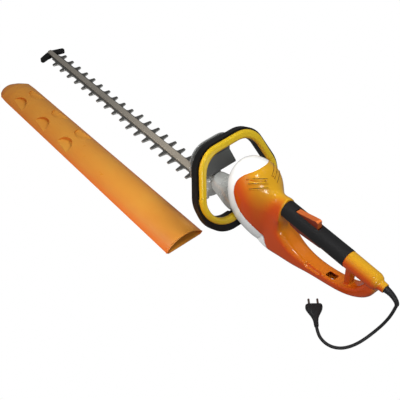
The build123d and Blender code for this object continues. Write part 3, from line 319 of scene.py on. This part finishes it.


# %% [markdown]
# The body is glossy orange with a white motor dome, the loop is yellow, and the levers are a redder orange.
# Body, loop and levers carry painted light and shade: a lit colour on surfaces that lean up and back, a shade
# colour on the rest, darkest on the sides of the levers, and on the body also a painted shadow low down.
# The dome has a thin clear coat, which gives it the small hard highlights of polished moulds.

# %% Bright plastics
# Painted light and shade: each finish below gives a shade colour and a lit colour.
ORANGE = painted_light_plastic(
    "body_orange",
    shade=(0.52, 0.058, 0.003),
    lit=(0.56, 0.29, 0.010),
    low=0.06,
    high=0.15,
    rough=0.16,
)
YELLOW = painted_light_plastic("loop_yellow", shade=(0.66, 0.32, 0.005), lit=(0.54, 0.37, 0.012), rough=0.18)
WHITE = plastic(
    "dome_white",
    colour=(0.87, 0.87, 0.86),
    cloud=(0.82, 0.82, 0.81),
    rough=0.25,
    Coat_Weight=0.3,
    Coat_Roughness=0.08,
)
RED_LEVER = painted_light_plastic(
    "lever_red_orange",
    shade=(0.17, 0.022, 0.008),
    lit=(0.62, 0.15, 0.03),
    start=0.3,
    end=0.85,
    rough=0.3,
)

# %% [markdown]
# The scabbard is thinner and duller than the body, and its plastic is mottled. Like the body, it carries
# painted light and shade. A painted shade turns it redder towards its long edges: a second colour is laid
# over the first by the distance from the middle line, and that line comes from the frame.

# %% Scabbard plastic
SCABBARD_EDGE_SHADE = (0.58, 0.125, 0.016)
EDGE_FROM = 0.036
EDGE_TO = 0.054


def box_in_mm(name):
    return [[round(c / MM, 3) for c in corner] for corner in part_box(name)]


def overlay(tree, socket, share, colour):
    source = socket.links[0].from_socket
    tree.links.new(blend_colour(tree, share, source, (*colour, 1)), socket)


scabbard_low, scabbard_high = box_in_mm("scabbard")
SCABBARD_MIDDLE = (scabbard_low[1] + scabbard_high[1]) / 2
SCABBARD = painted_light_plastic(
    "scabbard_orange",
    shade=(0.55, 0.16, 0.016),
    lit=(0.51, 0.245, 0.034),
    start=0.1,
    end=0.85,
    amount=0.9,
    mottle=(0.97, 0.66, 0.5),
    rough=0.3,
    rub=0.25,
)
scabbard_tree = SCABBARD.node_tree
across = math_node(scabbard_tree, "SUBTRACT", coordinate(scabbard_tree, "Object", "Y"), SCABBARD_MIDDLE * MM)
off_middle = math_node(scabbard_tree, "ABSOLUTE", across)
# Painted shade: the redder edge colour grows with the distance from the middle line.
edge_shade_share = eased(scabbard_tree, off_middle, EDGE_FROM, EDGE_TO)
for label in ("Colour", "Cloud colour"):
    overlay(scabbard_tree, skin_of(SCABBARD).inputs[label], edge_shade_share, SCABBARD_EDGE_SHADE)
print("scabbard middle line at y", SCABBARD_MIDDLE, "mm")

# %% [markdown]
# The loop frame is matt black, the grip and the lead are rubber with a deeper grain, and the hand guard is a
# smoky pane with a clear coat. Its edge is paler, because light gathers along the edge of a tinted pane.

# %% Dark plastics and rubber
BLACK = plastic(
    "frame_black",
    colour=(0.004, 0.004, 0.004),
    cloud=(0.008, 0.008, 0.008),
    rough=0.45,
    grain=1400.0,
    depth=0.00005,
    IOR=1.38,
)
GRIP = plastic(
    "grip_rubber",
    colour=(0.007, 0.007, 0.0075),
    cloud=(0.013, 0.013, 0.014),
    rough=0.62,
    rub=0.2,
    grain=2600.0,
    depth=0.00012,
)
CORD = plastic(
    "cord_rubber",
    colour=(0.010, 0.010, 0.011),
    cloud=(0.02, 0.02, 0.02),
    rough=0.5,
    rub=0.25,
    grain=1800.0,
    depth=0.00005,
)
GUARD = plastic(
    "guard_smoke",
    colour=(0.085, 0.088, 0.085),
    cloud=(0.12, 0.122, 0.12),
    rough=0.12,
    Coat_Weight=0.5,
    Coat_Roughness=0.04,
)
GUARD_EDGE = plastic(
    "guard_edge",
    colour=(0.20, 0.205, 0.20),
    cloud=(0.14, 0.145, 0.14),
    rough=0.12,
    Coat_Weight=0.5,
)

# %% [markdown]
# Rolled and ground steel shows fine lines along its length. Noise stretched along one axis makes them,
# and the same noise drives colour, roughness and relief, so that a darker line is also a duller one.

# %% Metal maker
LINE_DARKNESS = 0.72
LINE_ROUGHNESS = 0.25
ALONG_X = (60.0, 900.0, 900.0)
LINE_DEPTH = 0.00002


def metal(name, colour, rough, scale=ALONG_X, metallic=1.0):
    material, tree, shader = principled(name, Metallic=metallic)
    where = node(tree, "ShaderNodeTexCoord").outputs["Object"]
    stretched = node(tree, "ShaderNodeMapping", {"Vector": where, "Scale": scale}).outputs[0]
    sockets = {"Vector": stretched, "Scale": 1.0, "Detail": 5.0, "Roughness": 0.65}
    lines = node(tree, "ShaderNodeTexNoise", sockets).outputs["Fac"]
    dark = tuple(c * LINE_DARKNESS for c in colour)
    tree.links.new(blend_colour(tree, lines, (*dark, 1), (*colour, 1)), shader.inputs["Base Color"])
    spread = math_node(tree, "MULTIPLY", math_node(tree, "SUBTRACT", lines, 0.5), LINE_ROUGHNESS)
    tree.links.new(math_node(tree, "ADD", spread, rough, clamp=True), shader.inputs["Roughness"])
    feed_bump(tree, shader, lines, LINE_DEPTH)
    return material


# %% [markdown]
# The blades are dark on their flats and bright on the ground bevels of the teeth. A mask from the surface
# direction finds the bevels, since only the flats face straight up or down.
# The bar between them is warmer, and paler towards the gear head.

# %% Blade and bar steel
FLAT_FROM = 0.92
FLAT_TO = 0.99
HONED = (0.40, 0.40, 0.38)
PALE_FROM = -0.45
PALE_TO = -0.05
PALE_BAR = (0.42, 0.37, 0.30)


def base_colour(material):
    return material.node_tree.nodes["Principled BSDF"].inputs["Base Color"]


BLADE = metal("blade_steel", (0.13, 0.128, 0.12), 0.34, metallic=0.6)
blade_tree = BLADE.node_tree
flatness = math_node(blade_tree, "ABSOLUTE", coordinate(blade_tree, "Normal", "Z"))
ground = math_node(blade_tree, "SUBTRACT", 1.0, eased(blade_tree, flatness, FLAT_FROM, FLAT_TO))
overlay(blade_tree, base_colour(BLADE), ground, HONED)
BAR = metal("bar_steel", (0.30, 0.275, 0.235), 0.36, metallic=0.4)
bar_tree = BAR.node_tree
paler = eased(bar_tree, coordinate(bar_tree, "Object", "X"), PALE_FROM, PALE_TO)
overlay(bar_tree, base_colour(BAR), paler, PALE_BAR)

# %% [markdown]
# The remaining metals are screws, motor parts and plug pins. They differ in colour and in the run of their
# lines. The gear head is a die casting without lines, so it is made like a plastic that is partly metallic.

# %% Other metals
ZINC = metal("zinc_screw", (0.62, 0.62, 0.60), 0.3, (500.0, 500.0, 500.0))
CAST = plastic(
    "cast_alloy",
    colour=(0.640, 0.648, 0.616),
    cloud=(0.464, 0.472, 0.456),
    rough=0.26,
    grain=500.0,
    depth=0.00006,
    IOR=1.6,
    Metallic=0.35,
)
CORE = metal("core_steel", (0.30, 0.30, 0.31), 0.45, (1500.0, 80.0, 80.0))
COPPER = metal("copper_wire", (0.72, 0.36, 0.16), 0.35, (900.0, 200.0, 200.0))
BRONZE = metal("bush_bronze", (0.62, 0.45, 0.22), 0.4, (300.0, 300.0, 300.0))
PIN_METAL = metal("plug_pin_metal", (0.55, 0.55, 0.54), 0.28, (200.0, 200.0, 200.0))

# %% [markdown]
# The record already says which finish each piece takes, so the whole frame is dressed in one loop.
# Choosing a finish piece by piece would give the same result with many more lines to keep right.

# %% Dress the frame
FINISHES = {
    "blade_steel": BLADE,
    "bar_steel": BAR,
    "zinc_steel": ZINC,
    "cast_alloy": CAST,
    "core_steel": CORE,
    "copper_wire": COPPER,
    "bush_bronze": BRONZE,
    "black_plastic": BLACK,
    "white_plastic": WHITE,
    "orange_plastic": ORANGE,
    "trigger_plastic": RED_LEVER,
    "yellow_plastic": YELLOW,
    "grip_rubber": GRIP,
    "cord_rubber": CORD,
    "plug_pin_metal": PIN_METAL,
    "guard_plastic": GUARD,
    "scabbard_plastic": SCABBARD,
}
for entry in frame["record"]["subparts"]:
    mesh = NODES[entry["node"]].data
    mesh.materials.clear()
    mesh.materials.append(FINISHES[entry["material_slot"]])

# %% [markdown]
# The two handle shells are one flowing form: the body runs into the lower bow without a crease.
# It could be sculpted, but then it would leave its measured size. So copies of both shells are joined
# and turned into an even skin of voxels, which can be relaxed without tearing.

# %% Even skin of the handle
WELD = 0.000002
VOXEL = 0.0013


def settle(piece):
    graph = bpy.context.evaluated_depsgraph_get()
    mesh = bpy.data.meshes.new_from_object(piece.evaluated_get(graph))
    piece.modifiers.clear()
    piece.data = mesh
    return mesh


flow = bmesh.new()
for name in ("handle_shell_left", "handle_shell_right"):
    flow.from_mesh(NODES[name].data)
bmesh.ops.remove_doubles(flow, verts=flow.verts, dist=WELD)
rough_shell = bpy.data.meshes.new("handle_shells")
flow.to_mesh(rough_shell)
flow.free()
handle = placed("handle_shells", rough_shell)
voxels = handle.modifiers.new("even_skin", "REMESH")
voxels.mode = "VOXEL"
voxels.voxel_size = VOXEL
skin_mesh = settle(handle)
print("even skin faces", len(skin_mesh.polygons))

# %% [markdown]
# Relaxing is strong near the inner corner, where body and bow meet, and fades out towards the grip.
# Elsewhere only a light polish takes the steps of the voxels away, so the tail and the grip seat
# keep their shape.

# %% Flowing handle shell
# Points along the corner in millimetres: x, distance from the middle, z and reach
CREASE = (
    (233, 27, 45, 15), (233, 27, 58, 15), (233, 27, 71, 17), (233, 28, 84, 20), (233, 28, 96, 24),
    (240, 27, 90, 28), (248, 27, 85, 30), (256, 27, 83, 32), (264, 25, 86, 32), (264, 25, 100, 32),
    (264, 17, 86, 32), (264, 8, 89, 32), (264, 0, 90, 32),
)
FADE_TOP = 0.122
FADE_DEPTH = 0.014
SOFT_RIM = 0.6
RELAX_ROUNDS = 260
POLISH_ROUNDS = 3
near = handle.vertex_groups.new(name="corner")
inner = [(Vector((x, y * side, z)) * MM, reach * MM) for x, y, z, reach in CREASE for side in (-1, 1)]
for vertex in skin_mesh.vertices:
    pull = max((reach - (vertex.co - point).length) / (SOFT_RIM * reach) for point, reach in inner)
    fade = min(max((FADE_TOP - vertex.co.z) / FADE_DEPTH, 0), 1)
    share = min(max(pull, 0), 1) * fade
    if share > 0:
        near.add([vertex.index], share, "REPLACE")
for label, group, rounds in (("relax", "corner", RELAX_ROUNDS), ("polish", "", POLISH_ROUNDS)):
    smooth = handle.modifiers.new(label, "SMOOTH")
    smooth.factor = 0.5
    smooth.iterations = rounds
    smooth.vertex_group = group
thin = handle.modifiers.new("thin", "DECIMATE")
thin.ratio = 0.5
skin_mesh = settle(handle)
skin_mesh.shade_smooth()
skin_mesh.materials.clear()
skin_mesh.materials.append(ORANGE)
print("handle shell faces", len(skin_mesh.polygons))
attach(handle, "trimmer")
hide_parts("handle_shell_left", "handle_shell_right")

# %% [markdown]
# Screws, ribs and raised lips repeat or follow a path, so Geometry Nodes grow them from a few points.
# One helper starts a tree, one ends it, and one runs it on a few points and keeps the finished mesh.

# %% Growing helpers
GEOMETRY = "NodeSocketGeometry"
MATERIAL = "NodeSocketMaterial"


def start_tree(name, inputs):
    tree = bpy.data.node_groups.new(name, "GeometryNodeTree")
    tree.interface.new_socket("Geometry", in_out="INPUT", socket_type=GEOMETRY)
    for label, value in inputs:
        socket = tree.interface.new_socket(label, in_out="INPUT", socket_type=FLOAT)
        socket.default_value = value
    tree.interface.new_socket("Finish", in_out="INPUT", socket_type=MATERIAL)
    tree.interface.new_socket("Geometry", in_out="OUTPUT", socket_type=GEOMETRY)
    print("geometry tree:", name)
    return tree, tree.nodes.new("NodeGroupInput").outputs, tree.nodes.new("NodeGroupOutput").inputs


def end_tree(tree, geometry, finish, out):
    whole = node(tree, "GeometryNodeRealizeInstances", {"Geometry": geometry}).outputs[0]
    dressed = node(tree, "GeometryNodeSetMaterial", {"Geometry": whole, "Material": finish}).outputs[0]
    tree.links.new(dressed, out["Geometry"])


def grown(name, tree, seeds, values, edges=(), **attributes):
    mesh = bpy.data.meshes.new(name)
    mesh.from_pydata([Vector(seed) * MM for seed in seeds], edges, [])
    for label, rows in attributes.items():
        kind = "FLOAT" if isinstance(rows[0], float) else "FLOAT_VECTOR"
        layer = mesh.attributes.new(label, kind, "POINT")
        for item, row in zip(layer.data, rows):
            if kind == "FLOAT":
                item.value = row
            else:
                item.vector = row
    piece = placed(name, mesh)
    modifier = piece.modifiers.new("grow", "NODES")
    modifier.node_group = tree
    for item in tree.interface.items_tree:
        if item.in_out == "INPUT" and item.name in values:
            modifier[item.identifier] = values[item.name]
    settle(piece)
    print(name, "faces", len(piece.data.polygons))
    return piece


def attribute(tree, name, kind):
    return node(tree, "GeometryNodeInputNamedAttribute", {"Name": name}, data_type=kind).outputs["Attribute"]


def along_axis(tree):
    axis = attribute(tree, "axis", "FLOAT_VECTOR")
    return node(tree, "FunctionNodeAlignRotationToVector", {"Vector": axis}, axis="Z").outputs[0]


# %% [markdown]
# Each screw is a cylinder head with a six-sided socket cut into it, on a plain shank.
# The tree makes one screw standing on its seat and turns a copy along the axis stored at every point.

# %% Screw tree
HEAD_SIDES = 32
SHANK_SIDES = 16
SOCKET_SIDES = 6
SOCKET_SHARE = 0.52
screw_tree, screw_in, screw_out = start_tree(
    "Socket screws",
    [("Head radius", 0.0038), ("Head height", 0.0022), ("Shank radius", 0.002), ("Shank length", 0.01)],
)
head_r, head_h = screw_in["Head radius"], screw_in["Head height"]
shank_r, shank_l = screw_in["Shank radius"], screw_in["Shank length"]


def screw_rod(sides, radius, depth, middle):
    sockets = {"Vertices": sides, "Radius": radius, "Depth": depth}
    mesh = node(screw_tree, "GeometryNodeMeshCylinder", sockets).outputs["Mesh"]
    shift = node(screw_tree, "ShaderNodeCombineXYZ", {"Z": middle}).outputs[0]
    return node(screw_tree, "GeometryNodeTransform", {"Geometry": mesh, "Translation": shift}).outputs[0]


head = screw_rod(HEAD_SIDES, head_r, head_h, math_node(screw_tree, "MULTIPLY", head_h, 0.5))
socket_r = math_node(screw_tree, "MULTIPLY", head_r, SOCKET_SHARE)
hollow = screw_rod(SOCKET_SIDES, socket_r, head_h, head_h)
cut = node(screw_tree, "GeometryNodeMeshBoolean", {"Mesh 1": head, "Mesh 2": hollow}, operation="DIFFERENCE")
shank = screw_rod(SHANK_SIDES, shank_r, shank_l, math_node(screw_tree, "MULTIPLY", shank_l, -0.5))
screw = node(screw_tree, "GeometryNodeJoinGeometry")
screw_tree.links.new(cut.outputs["Mesh"], screw.inputs[0])
screw_tree.links.new(shank, screw.inputs[0])
screw_copies = node(
    screw_tree,
    "GeometryNodeInstanceOnPoints",
    {"Points": screw_in["Geometry"], "Instance": screw.outputs[0], "Rotation": along_axis(screw_tree)},
)
end_tree(screw_tree, screw_copies.outputs[0], screw_in["Finish"], screw_out)

# %% [markdown]
# Seven sets of screws hold the guard, the bar, the gear cover, the tip guard, the loop and the shells.
# Each set is one row: where its heads sit, which way they point, and its sizes. A loop then grows every set.

# %% Screws
LOOP_TILT = math.radians(25)
LOOP_NORMAL = Vector((math.cos(LOOP_TILT), 0, math.sin(LOOP_TILT)))
LOOP_UP = Vector((-math.sin(LOOP_TILT), 0, math.cos(LOOP_TILT)))
LOOP_FOOT = Vector((139, 0, 30))
COVER_RING_R = 35
COVER_SEAT = 12
COVER_ANGLES = [math.radians(angle) for angle in (-98, -42, 42, 98)]
LOOP_SITES = ((-108, 72), (108, 72), (-44, 14.5), (44, 14.5))
ABOVE = (0, 0, 1)
BELOW = (0, 0, -1)
LEFT = (0, -1, 0)
RIGHT = (0, 1, 0)


def on_loop(out, across, up):
    return LOOP_FOOT + LOOP_NORMAL * out + Vector((0, across, 0)) + LOOP_UP * up


cover_ring = [(COVER_RING_R * math.cos(a), COVER_RING_R * math.sin(a), COVER_SEAT) for a in COVER_ANGLES]
loop_seats = [on_loop(-14, across, up) for across, up in LOOP_SITES]
shell_seats = [(270, -8, 133), (372, 8, 42), (478, 8, 139), (258, 8, 34)]
# Sizes in millimetres: head radius, head height, shank radius and shank length
SCREW_ROWS = (
    ("guard_screws", [(-2, -19, 67), (-2, 19, 67)], [ABOVE] * 2, (3.8, 2.2, 2.0, 6.8)),
    ("bar_screws", [(-48, 0, 47), (-39, 0, 47)], [ABOVE] * 2, (3.8, 2.2, 2.0, 14.0)),
    ("gear_cover_screws", cover_ring, [BELOW] * 4, (3.8, 2.2, 2.0, 21.0)),
    ("tip_guard_screw", [(-675, 0, 23)], [BELOW], (3.8, 1.6, 2.0, 6.0)),
    ("loop_screws", loop_seats, [-LOOP_NORMAL] * 4, (3.5, 2.2, 2.0, 24.0)),
    ("foot_screws", [on_loop(-8, -11, 6), on_loop(-8, 11, 6)], [-LOOP_UP] * 2, (3.5, 2.2, 2.0, 20.0)),
    ("housing_screws", shell_seats, [LEFT, RIGHT, RIGHT, RIGHT], (3.2, 2.4, 1.5, 16.5)),
)
SCREW_SIZES = ("Head radius", "Head height", "Shank radius", "Shank length")
for label, seats, axes, lengths in SCREW_ROWS:
    sizes = {size: length * MM for size, length in zip(SCREW_SIZES, lengths)}
    row = grown("socket_" + label, screw_tree, seats, {**sizes, "Finish": ZINC}, axis=axes)
    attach(row, "trimmer")
    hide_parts(label)

# %% [markdown]
# Raised lips, beads and the rolled edge of the scabbard all follow a line on a surface.
# This tree takes a chain of points, turns it into a curve with even steps and sweeps a small circle along it.

# %% Bead tree
BEAD_SIDES = 10
BEAD_STEP = 2.0
bead_tree, bead_in, bead_out = start_tree("Swept bead", [("Radius", 0.001), ("Spacing", 0.002)])
line = node(bead_tree, "GeometryNodeMeshToCurve", {"Mesh": bead_in["Geometry"]}).outputs[0]
steps = {"Curve": line, "Length": bead_in["Spacing"]}
even = node(bead_tree, "GeometryNodeResampleCurve", steps, mode="LENGTH").outputs[0]
circle = {"Resolution": BEAD_SIDES, "Radius": bead_in["Radius"]}
ring = node(bead_tree, "GeometryNodeCurvePrimitiveCircle", circle).outputs[0]
sweep = {"Curve": even, "Profile Curve": ring, "Fill Caps": True}
swept = node(bead_tree, "GeometryNodeCurveToMesh", sweep).outputs[0]
rounded = node(bead_tree, "GeometryNodeSetShadeSmooth", {"Geometry": swept}).outputs[0]
end_tree(bead_tree, rounded, bead_in["Finish"], bead_out)


def bead(name, chain, radius, finish):
    links = [(i, i + 1) for i in range(len(chain) - 1)]
    sizes = {"Radius": radius * MM, "Spacing": BEAD_STEP * MM, "Finish": finish}
    return grown(name, bead_tree, chain, sizes, links)


# %% [markdown]
# Cooling air leaves through three curved louvres on each side of the crown. Each is a dark gap with a raised
# lip below it; the dark of the gap is painted shade, a strip of black plastic laid along it. Straight lines
# between their ends are pushed outwards and moved to the nearest spot on the finished shell, so the louvres
# hug the surface wherever it bulges.

# %% Louvre lines
LOUVRE_ENDS = (
    ((172, 42, 187), (206, 7, 192.5)),
    ((180, 44, 180), (210, 11, 186)),
    ((187, 46, 171.5), (215, 15, 178)),
)
CROWN_HEART = Vector((160, 0, 120))
LOUVRE_STEPS = 12
OUTWARD_PUSH = 14
shell_tree = BVHTree.FromPolygons(
    [vertex.co for vertex in skin_mesh.vertices], [polygon.vertices for polygon in skin_mesh.polygons]
)


def louvre_line(ends, side, drop, lift):
    chain = []
    first, last = (Vector((x, side * y, z - drop)) for x, y, z in ends)
    for step in range(LOUVRE_STEPS + 1):
        guess = first.lerp(last, step / LOUVRE_STEPS)
        guess += (guess - CROWN_HEART).normalized() * OUTWARD_PUSH
        spot, normal, _, _ = shell_tree.find_nearest(guess * MM)
        chain.append((spot + normal * lift * MM) / MM)
    return chain


print("louvres on each side:", len(LOUVRE_ENDS))

# %% [markdown]
# The painted-shade strips of all gaps become one piece and all lips another, because each set has one finish
# and rides on one body.

# %% Louvres
GAP_R = 0.95
GAP_LIFT = -0.45
LIP_R = 1.35
LIP_DROP = 2.2
LIP_LIFT = -0.25


def joined(name, pieces, finish):
    whole = bmesh.new()
    for piece in pieces:
        whole.from_mesh(piece.data)
        bpy.data.objects.remove(piece)
    mesh = bpy.data.meshes.new(name)
    whole.to_mesh(mesh)
    whole.free()
    mesh.materials.append(finish)
    mesh.shade_smooth()
    return placed(name, mesh)


# Each gap is a black strip of painted shade; each lip is a raised orange bead.
shade_strips = []
lips = []
for side in (1, -1):
    for ends in LOUVRE_ENDS:
        shade_strips.append(bead("louvre_shade", louvre_line(ends, side, 0.0, GAP_LIFT), GAP_R, BLACK))
        lips.append(bead("lip", louvre_line(ends, side, LIP_DROP, LIP_LIFT), LIP_R, ORANGE))
louvre_shade_strips = joined("louvre_shade_strips", shade_strips, BLACK)
louvre_lips = joined("louvre_lips", lips, ORANGE)
for piece, slot_name in ((louvre_shade_strips, "black_plastic"), (louvre_lips, "orange_plastic")):
    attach(piece, "trimmer")

# %% [markdown]
# The scabbard's mouth has a rolled edge, so that it does not catch on the teeth.
# Its section is a flat floor under one wide arc. The bead follows that arc just inside the mouth.

# %% Scabbard mouth
MOUTH_SET_BACK = 1.5
MOUTH_SIDE = 5
MOUTH_STEPS = 24
MOUTH_BEAD_R = 1.3
MOUTH_BEAD_SINK = 0.6
mouth_x = scabbard_high[0] - MOUTH_SET_BACK
mouth_half = (scabbard_high[1] - scabbard_low[1]) / 2
mouth_tall = scabbard_high[2]
rise = mouth_tall - MOUTH_SIDE
arc_radius = (mouth_half**2 + rise**2) / (2 * rise)
arc_swing = math.asin(mouth_half / arc_radius)
mouth = []
for step in range(MOUTH_STEPS + 1):
    swing = arc_swing * (2 * step / MOUTH_STEPS - 1)
    sideways = arc_radius * math.sin(swing)
    up = mouth_tall - arc_radius * (1 - math.cos(swing))
    mouth.append((mouth_x, SCABBARD_MIDDLE + sideways, up - MOUTH_BEAD_SINK))
mouth_bead = bead("scabbard_mouth", mouth, MOUTH_BEAD_R, SCABBARD)
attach(mouth_bead, "scabbard_body")

# %% [markdown]
# The hand guard is a moulded pane with round shoulders. Its outline is worked out for one half and mirrored,
# with each shoulder as an arc. A polygon that is pushed along one axis gives the pane its thickness.

# %% Guard outline
GUARD_SHOULDER = 40
SHOULDER_STEPS = 12
NECK_HALF = 37
NECK_TOP = 88
guard_low, guard_high = box_in_mm("hand_guard")
guard_half = guard_high[1]
guard_top = guard_high[2]
guard_seat = guard_low[2]
half_outline = [(NECK_HALF, guard_seat), (NECK_HALF, NECK_TOP), (guard_half, NECK_TOP)]
for step in range(SHOULDER_STEPS + 1):
    angle = math.radians(90 / SHOULDER_STEPS * step)
    half_width = guard_half - GUARD_SHOULDER * (1 - math.cos(angle))
    half_outline.append((half_width, guard_top - GUARD_SHOULDER * (1 - math.sin(angle))))
outline = half_outline + [(-y, z) for y, z in reversed(half_outline)]


def prism(name, corners, shift):
    work = bmesh.new()
    face = work.faces.new([work.verts.new(Vector(corner) * MM) for corner in corners])
    moved = bmesh.ops.extrude_face_region(work, geom=[face])["geom"]
    far_side = [v for v in moved if isinstance(v, bmesh.types.BMVert)]
    bmesh.ops.translate(work, verts=far_side, vec=Vector(shift) * MM)
    bmesh.ops.recalc_face_normals(work, faces=work.faces)
    mesh = bpy.data.meshes.new(name)
    work.to_mesh(mesh)
    work.free()
    return placed(name, mesh)


print("guard outline points", len(outline))

# %% [markdown]
# Behind the pane are a sloping shelf and two feet that stand on the gear head. They are united with the pane,
# so that one bevel softens every edge. A bead along the outline stiffens the pane.

# %% Hand guard
PANE_X = 8
PANE_THICK = 3
SHELF_HALF = 57.5
SHELF_SECTION = ((10, 114.9), (guard_high[0], 92), (guard_high[0], 88), (10, 110.9))
FOOT_WIDTH = 14
FOOT_TOP = 67
FOOT_REAR = 9
EDGE_BEVEL = 0.0007
BEAD_X = 9.5
GUARD_BEAD_R = 2.2
guard = prism("smoke_guard", [(PANE_X, y, z) for y, z in outline], (PANE_THICK, 0, 0))
shelf = prism("shelf", [(x, -SHELF_HALF, z) for x, z in SHELF_SECTION], (0, 2 * SHELF_HALF, 0))
foot_front = guard_low[0]
foot_section = (
    (foot_front, guard_seat), (foot_front, FOOT_TOP), (FOOT_REAR, FOOT_TOP), (FOOT_REAR, guard_seat),
)
feet = [prism("foot", [(x, y, z) for x, z in foot_section], (0, FOOT_WIDTH, 0)) for y in (-26, 12)]
for part in (shelf, *feet):
    union = guard.modifiers.new("join", "BOOLEAN")
    union.operation = "UNION"
    union.object = part
softened = guard.modifiers.new("soft_edges", "BEVEL")
softened.width = EDGE_BEVEL
softened.segments = 2
settle(guard)
for part in (shelf, *feet):
    bpy.data.objects.remove(part)
guard.data.materials.clear()
guard.data.materials.append(GUARD)
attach(guard, "trimmer")
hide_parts("hand_guard")
guard_bead = bead("guard_bead", [(BEAD_X, y, z) for y, z in outline[2:-2]], GUARD_BEAD_R, GUARD_EDGE)
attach(guard_bead, "trimmer")
print("guard faces", len(guard.data.polygons))

# %% [markdown]
# The bend relief behind the handle flexes because it is ribbed, and so does the neck of the plug.
# A third tree puts a thin ring on every point, turned along the stored axis and scaled to the stored size.

# %% Ring tree
HOOP_SIDES = 28
WIRE_SIDES = 8
RING_THICKNESS = 0.1
ring_tree, ring_in, ring_out = start_tree("Flex rings", [("Thickness", RING_THICKNESS)])


def circle_of(sides, radius):
    sockets = {"Resolution": sides, "Radius": radius}
    return node(ring_tree, "GeometryNodeCurvePrimitiveCircle", sockets).outputs[0]


tube = {"Curve": circle_of(HOOP_SIDES, 1.0), "Profile Curve": circle_of(WIRE_SIDES, ring_in["Thickness"])}
torus = node(ring_tree, "GeometryNodeCurveToMesh", tube).outputs[0]
rings = node(
    ring_tree,
    "GeometryNodeInstanceOnPoints",
    {
        "Points": ring_in["Geometry"],
        "Instance": node(ring_tree, "GeometryNodeSetShadeSmooth", {"Geometry": torus}).outputs[0],
        "Rotation": along_axis(ring_tree),
        "Scale": attribute(ring_tree, "size", "FLOAT"),
    },
)
end_tree(ring_tree, rings.outputs[0], ring_in["Finish"], ring_out)

# %% [markdown]
# The rings are spread evenly over a few stations along the boot and along the neck of the plug.
# Each station gives a place and a radius, and what lies between two stations is interpolated.

# %% Boot and plug rings
JUST_SHORT = 0.001
# Stations in millimetres: x, y, z and radius
BOOT_STATIONS = (
    (547.0, 0.1, 136.6, 7.3), (558.0, 0.5, 134.8, 6.2), (568.0, 1.5, 128.5, 5.4), (574.5, 2.5, 120.0, 4.7),
    (576.0, 3.0, 115.0, 4.3),
)
PLUG_ENTRY = Vector((461, -94, 9))
PLUG_TURN = math.radians(140.85)
PLUG_WAY = Vector((math.cos(PLUG_TURN), math.sin(PLUG_TURN), 0))
NECK_RADII = ((1, 4.55), (7, 4.8), (13, 5.1))


def flex_rings(name, stations, count):
    places, axes, sizes = [], [], []
    for step in range(count):
        along = step / (count - 1) * (len(stations) - 1 - JUST_SHORT)
        first, second = stations[int(along)], stations[int(along) + 1]
        share = along - int(along)
        a, b = Vector(first[:3]), Vector(second[:3])
        places.append(a.lerp(b, share))
        axes.append((b - a).normalized())
        sizes.append((first[3] + (second[3] - first[3]) * share) * MM)
    values = {"Thickness": RING_THICKNESS, "Finish": CORD}
    return grown(name, ring_tree, places, values, axis=axes, size=sizes)


boot_rings = flex_rings("boot_rings", BOOT_STATIONS, 12)
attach(boot_rings, "trimmer")
neck_stations = [(*(PLUG_ENTRY + PLUG_WAY * along), radius) for along, radius in NECK_RADII]
plug_rings = flex_rings("plug_rings", neck_stations, 5)
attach(plug_rings, "trimmer")

# %% [markdown]
# The lead leaves the bend relief at the rear of the handle, drops to the floor and curls forward to its plug.
# A NURBS curve of order three rounds every corner of the route smoothly, as a stiff rubber lead does.

# %% Mains lead
CORD_R = 3.5
CORD_ROUTE = (
    (576.0, 3.0, 114.0),
    (573.0, 1.0, 86.0),
    (563.0, -5.0, 46.0),
    (553.0, -22.0, 18.0),
    (547.0, -48.0, 5.5),
    (541.0, -74.0, 4.0),
    (530.0, -95.0, 4.0),
    (511.0, -107.5, 4.0),
    (488.0, -108.5, 5.0),
    (470.0, -101.0, 8.0),
    (461.0, -94.0, 9.0),
)
curve = bpy.data.curves.new("mains_lead", "CURVE")
curve.dimensions = "3D"
spline = curve.splines.new("NURBS")
spline.points.add(len(CORD_ROUTE) - 1)
for point, corner in zip(spline.points, CORD_ROUTE):
    point.co = (*[c * MM for c in corner], 1)
spline.order_u = 3
spline.use_endpoint_u = True
spline.resolution_u = 14
curve.bevel_depth = CORD_R * MM
curve.bevel_resolution = 5
curve.use_fill_caps = True
curve.materials.append(CORD)
lead = placed("mains_lead", curve)
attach(lead, "trimmer")
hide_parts("mains_cord")

# %% [markdown]
# The floor is a wide sheet of pale paper. Like the backdrop, it is white to the camera and only glows faintly
# towards the tool, so the underside of the body stays darker than its crown.

# %% Floor
FLOOR_SPAN = 6.0
FLOOR_GLOW = 0.2
floor_corners = [(x * FLOOR_SPAN, y * FLOOR_SPAN, 0) for x, y in ((-1, -1), (1, -1), (1, 1), (-1, 1))]
floor_mesh = bpy.data.meshes.new("floor")
floor_mesh.from_pydata(floor_corners, [], [(0, 1, 2, 3)])
floor = placed("floor", floor_mesh)
paper = bpy.data.materials.new("pale_floor")
paper.use_nodes = True
paper_tree = paper.node_tree
paper_tree.nodes.remove(paper_tree.nodes["Principled BSDF"])
seen = node(paper_tree, "ShaderNodeLightPath").outputs["Is Camera Ray"]
paper_glow = node(paper_tree, "ShaderNodeMix", {0: seen, 2: FLOOR_GLOW, 3: 1.0}).outputs[0]
glow = node(paper_tree, "ShaderNodeEmission", {"Strength": paper_glow})
paper_tree.links.new(glow.outputs[0], paper_tree.nodes["Material Output"].inputs["Surface"])
floor_mesh.materials.append(paper)
print("floor span in metres:", 2 * FLOOR_SPAN)
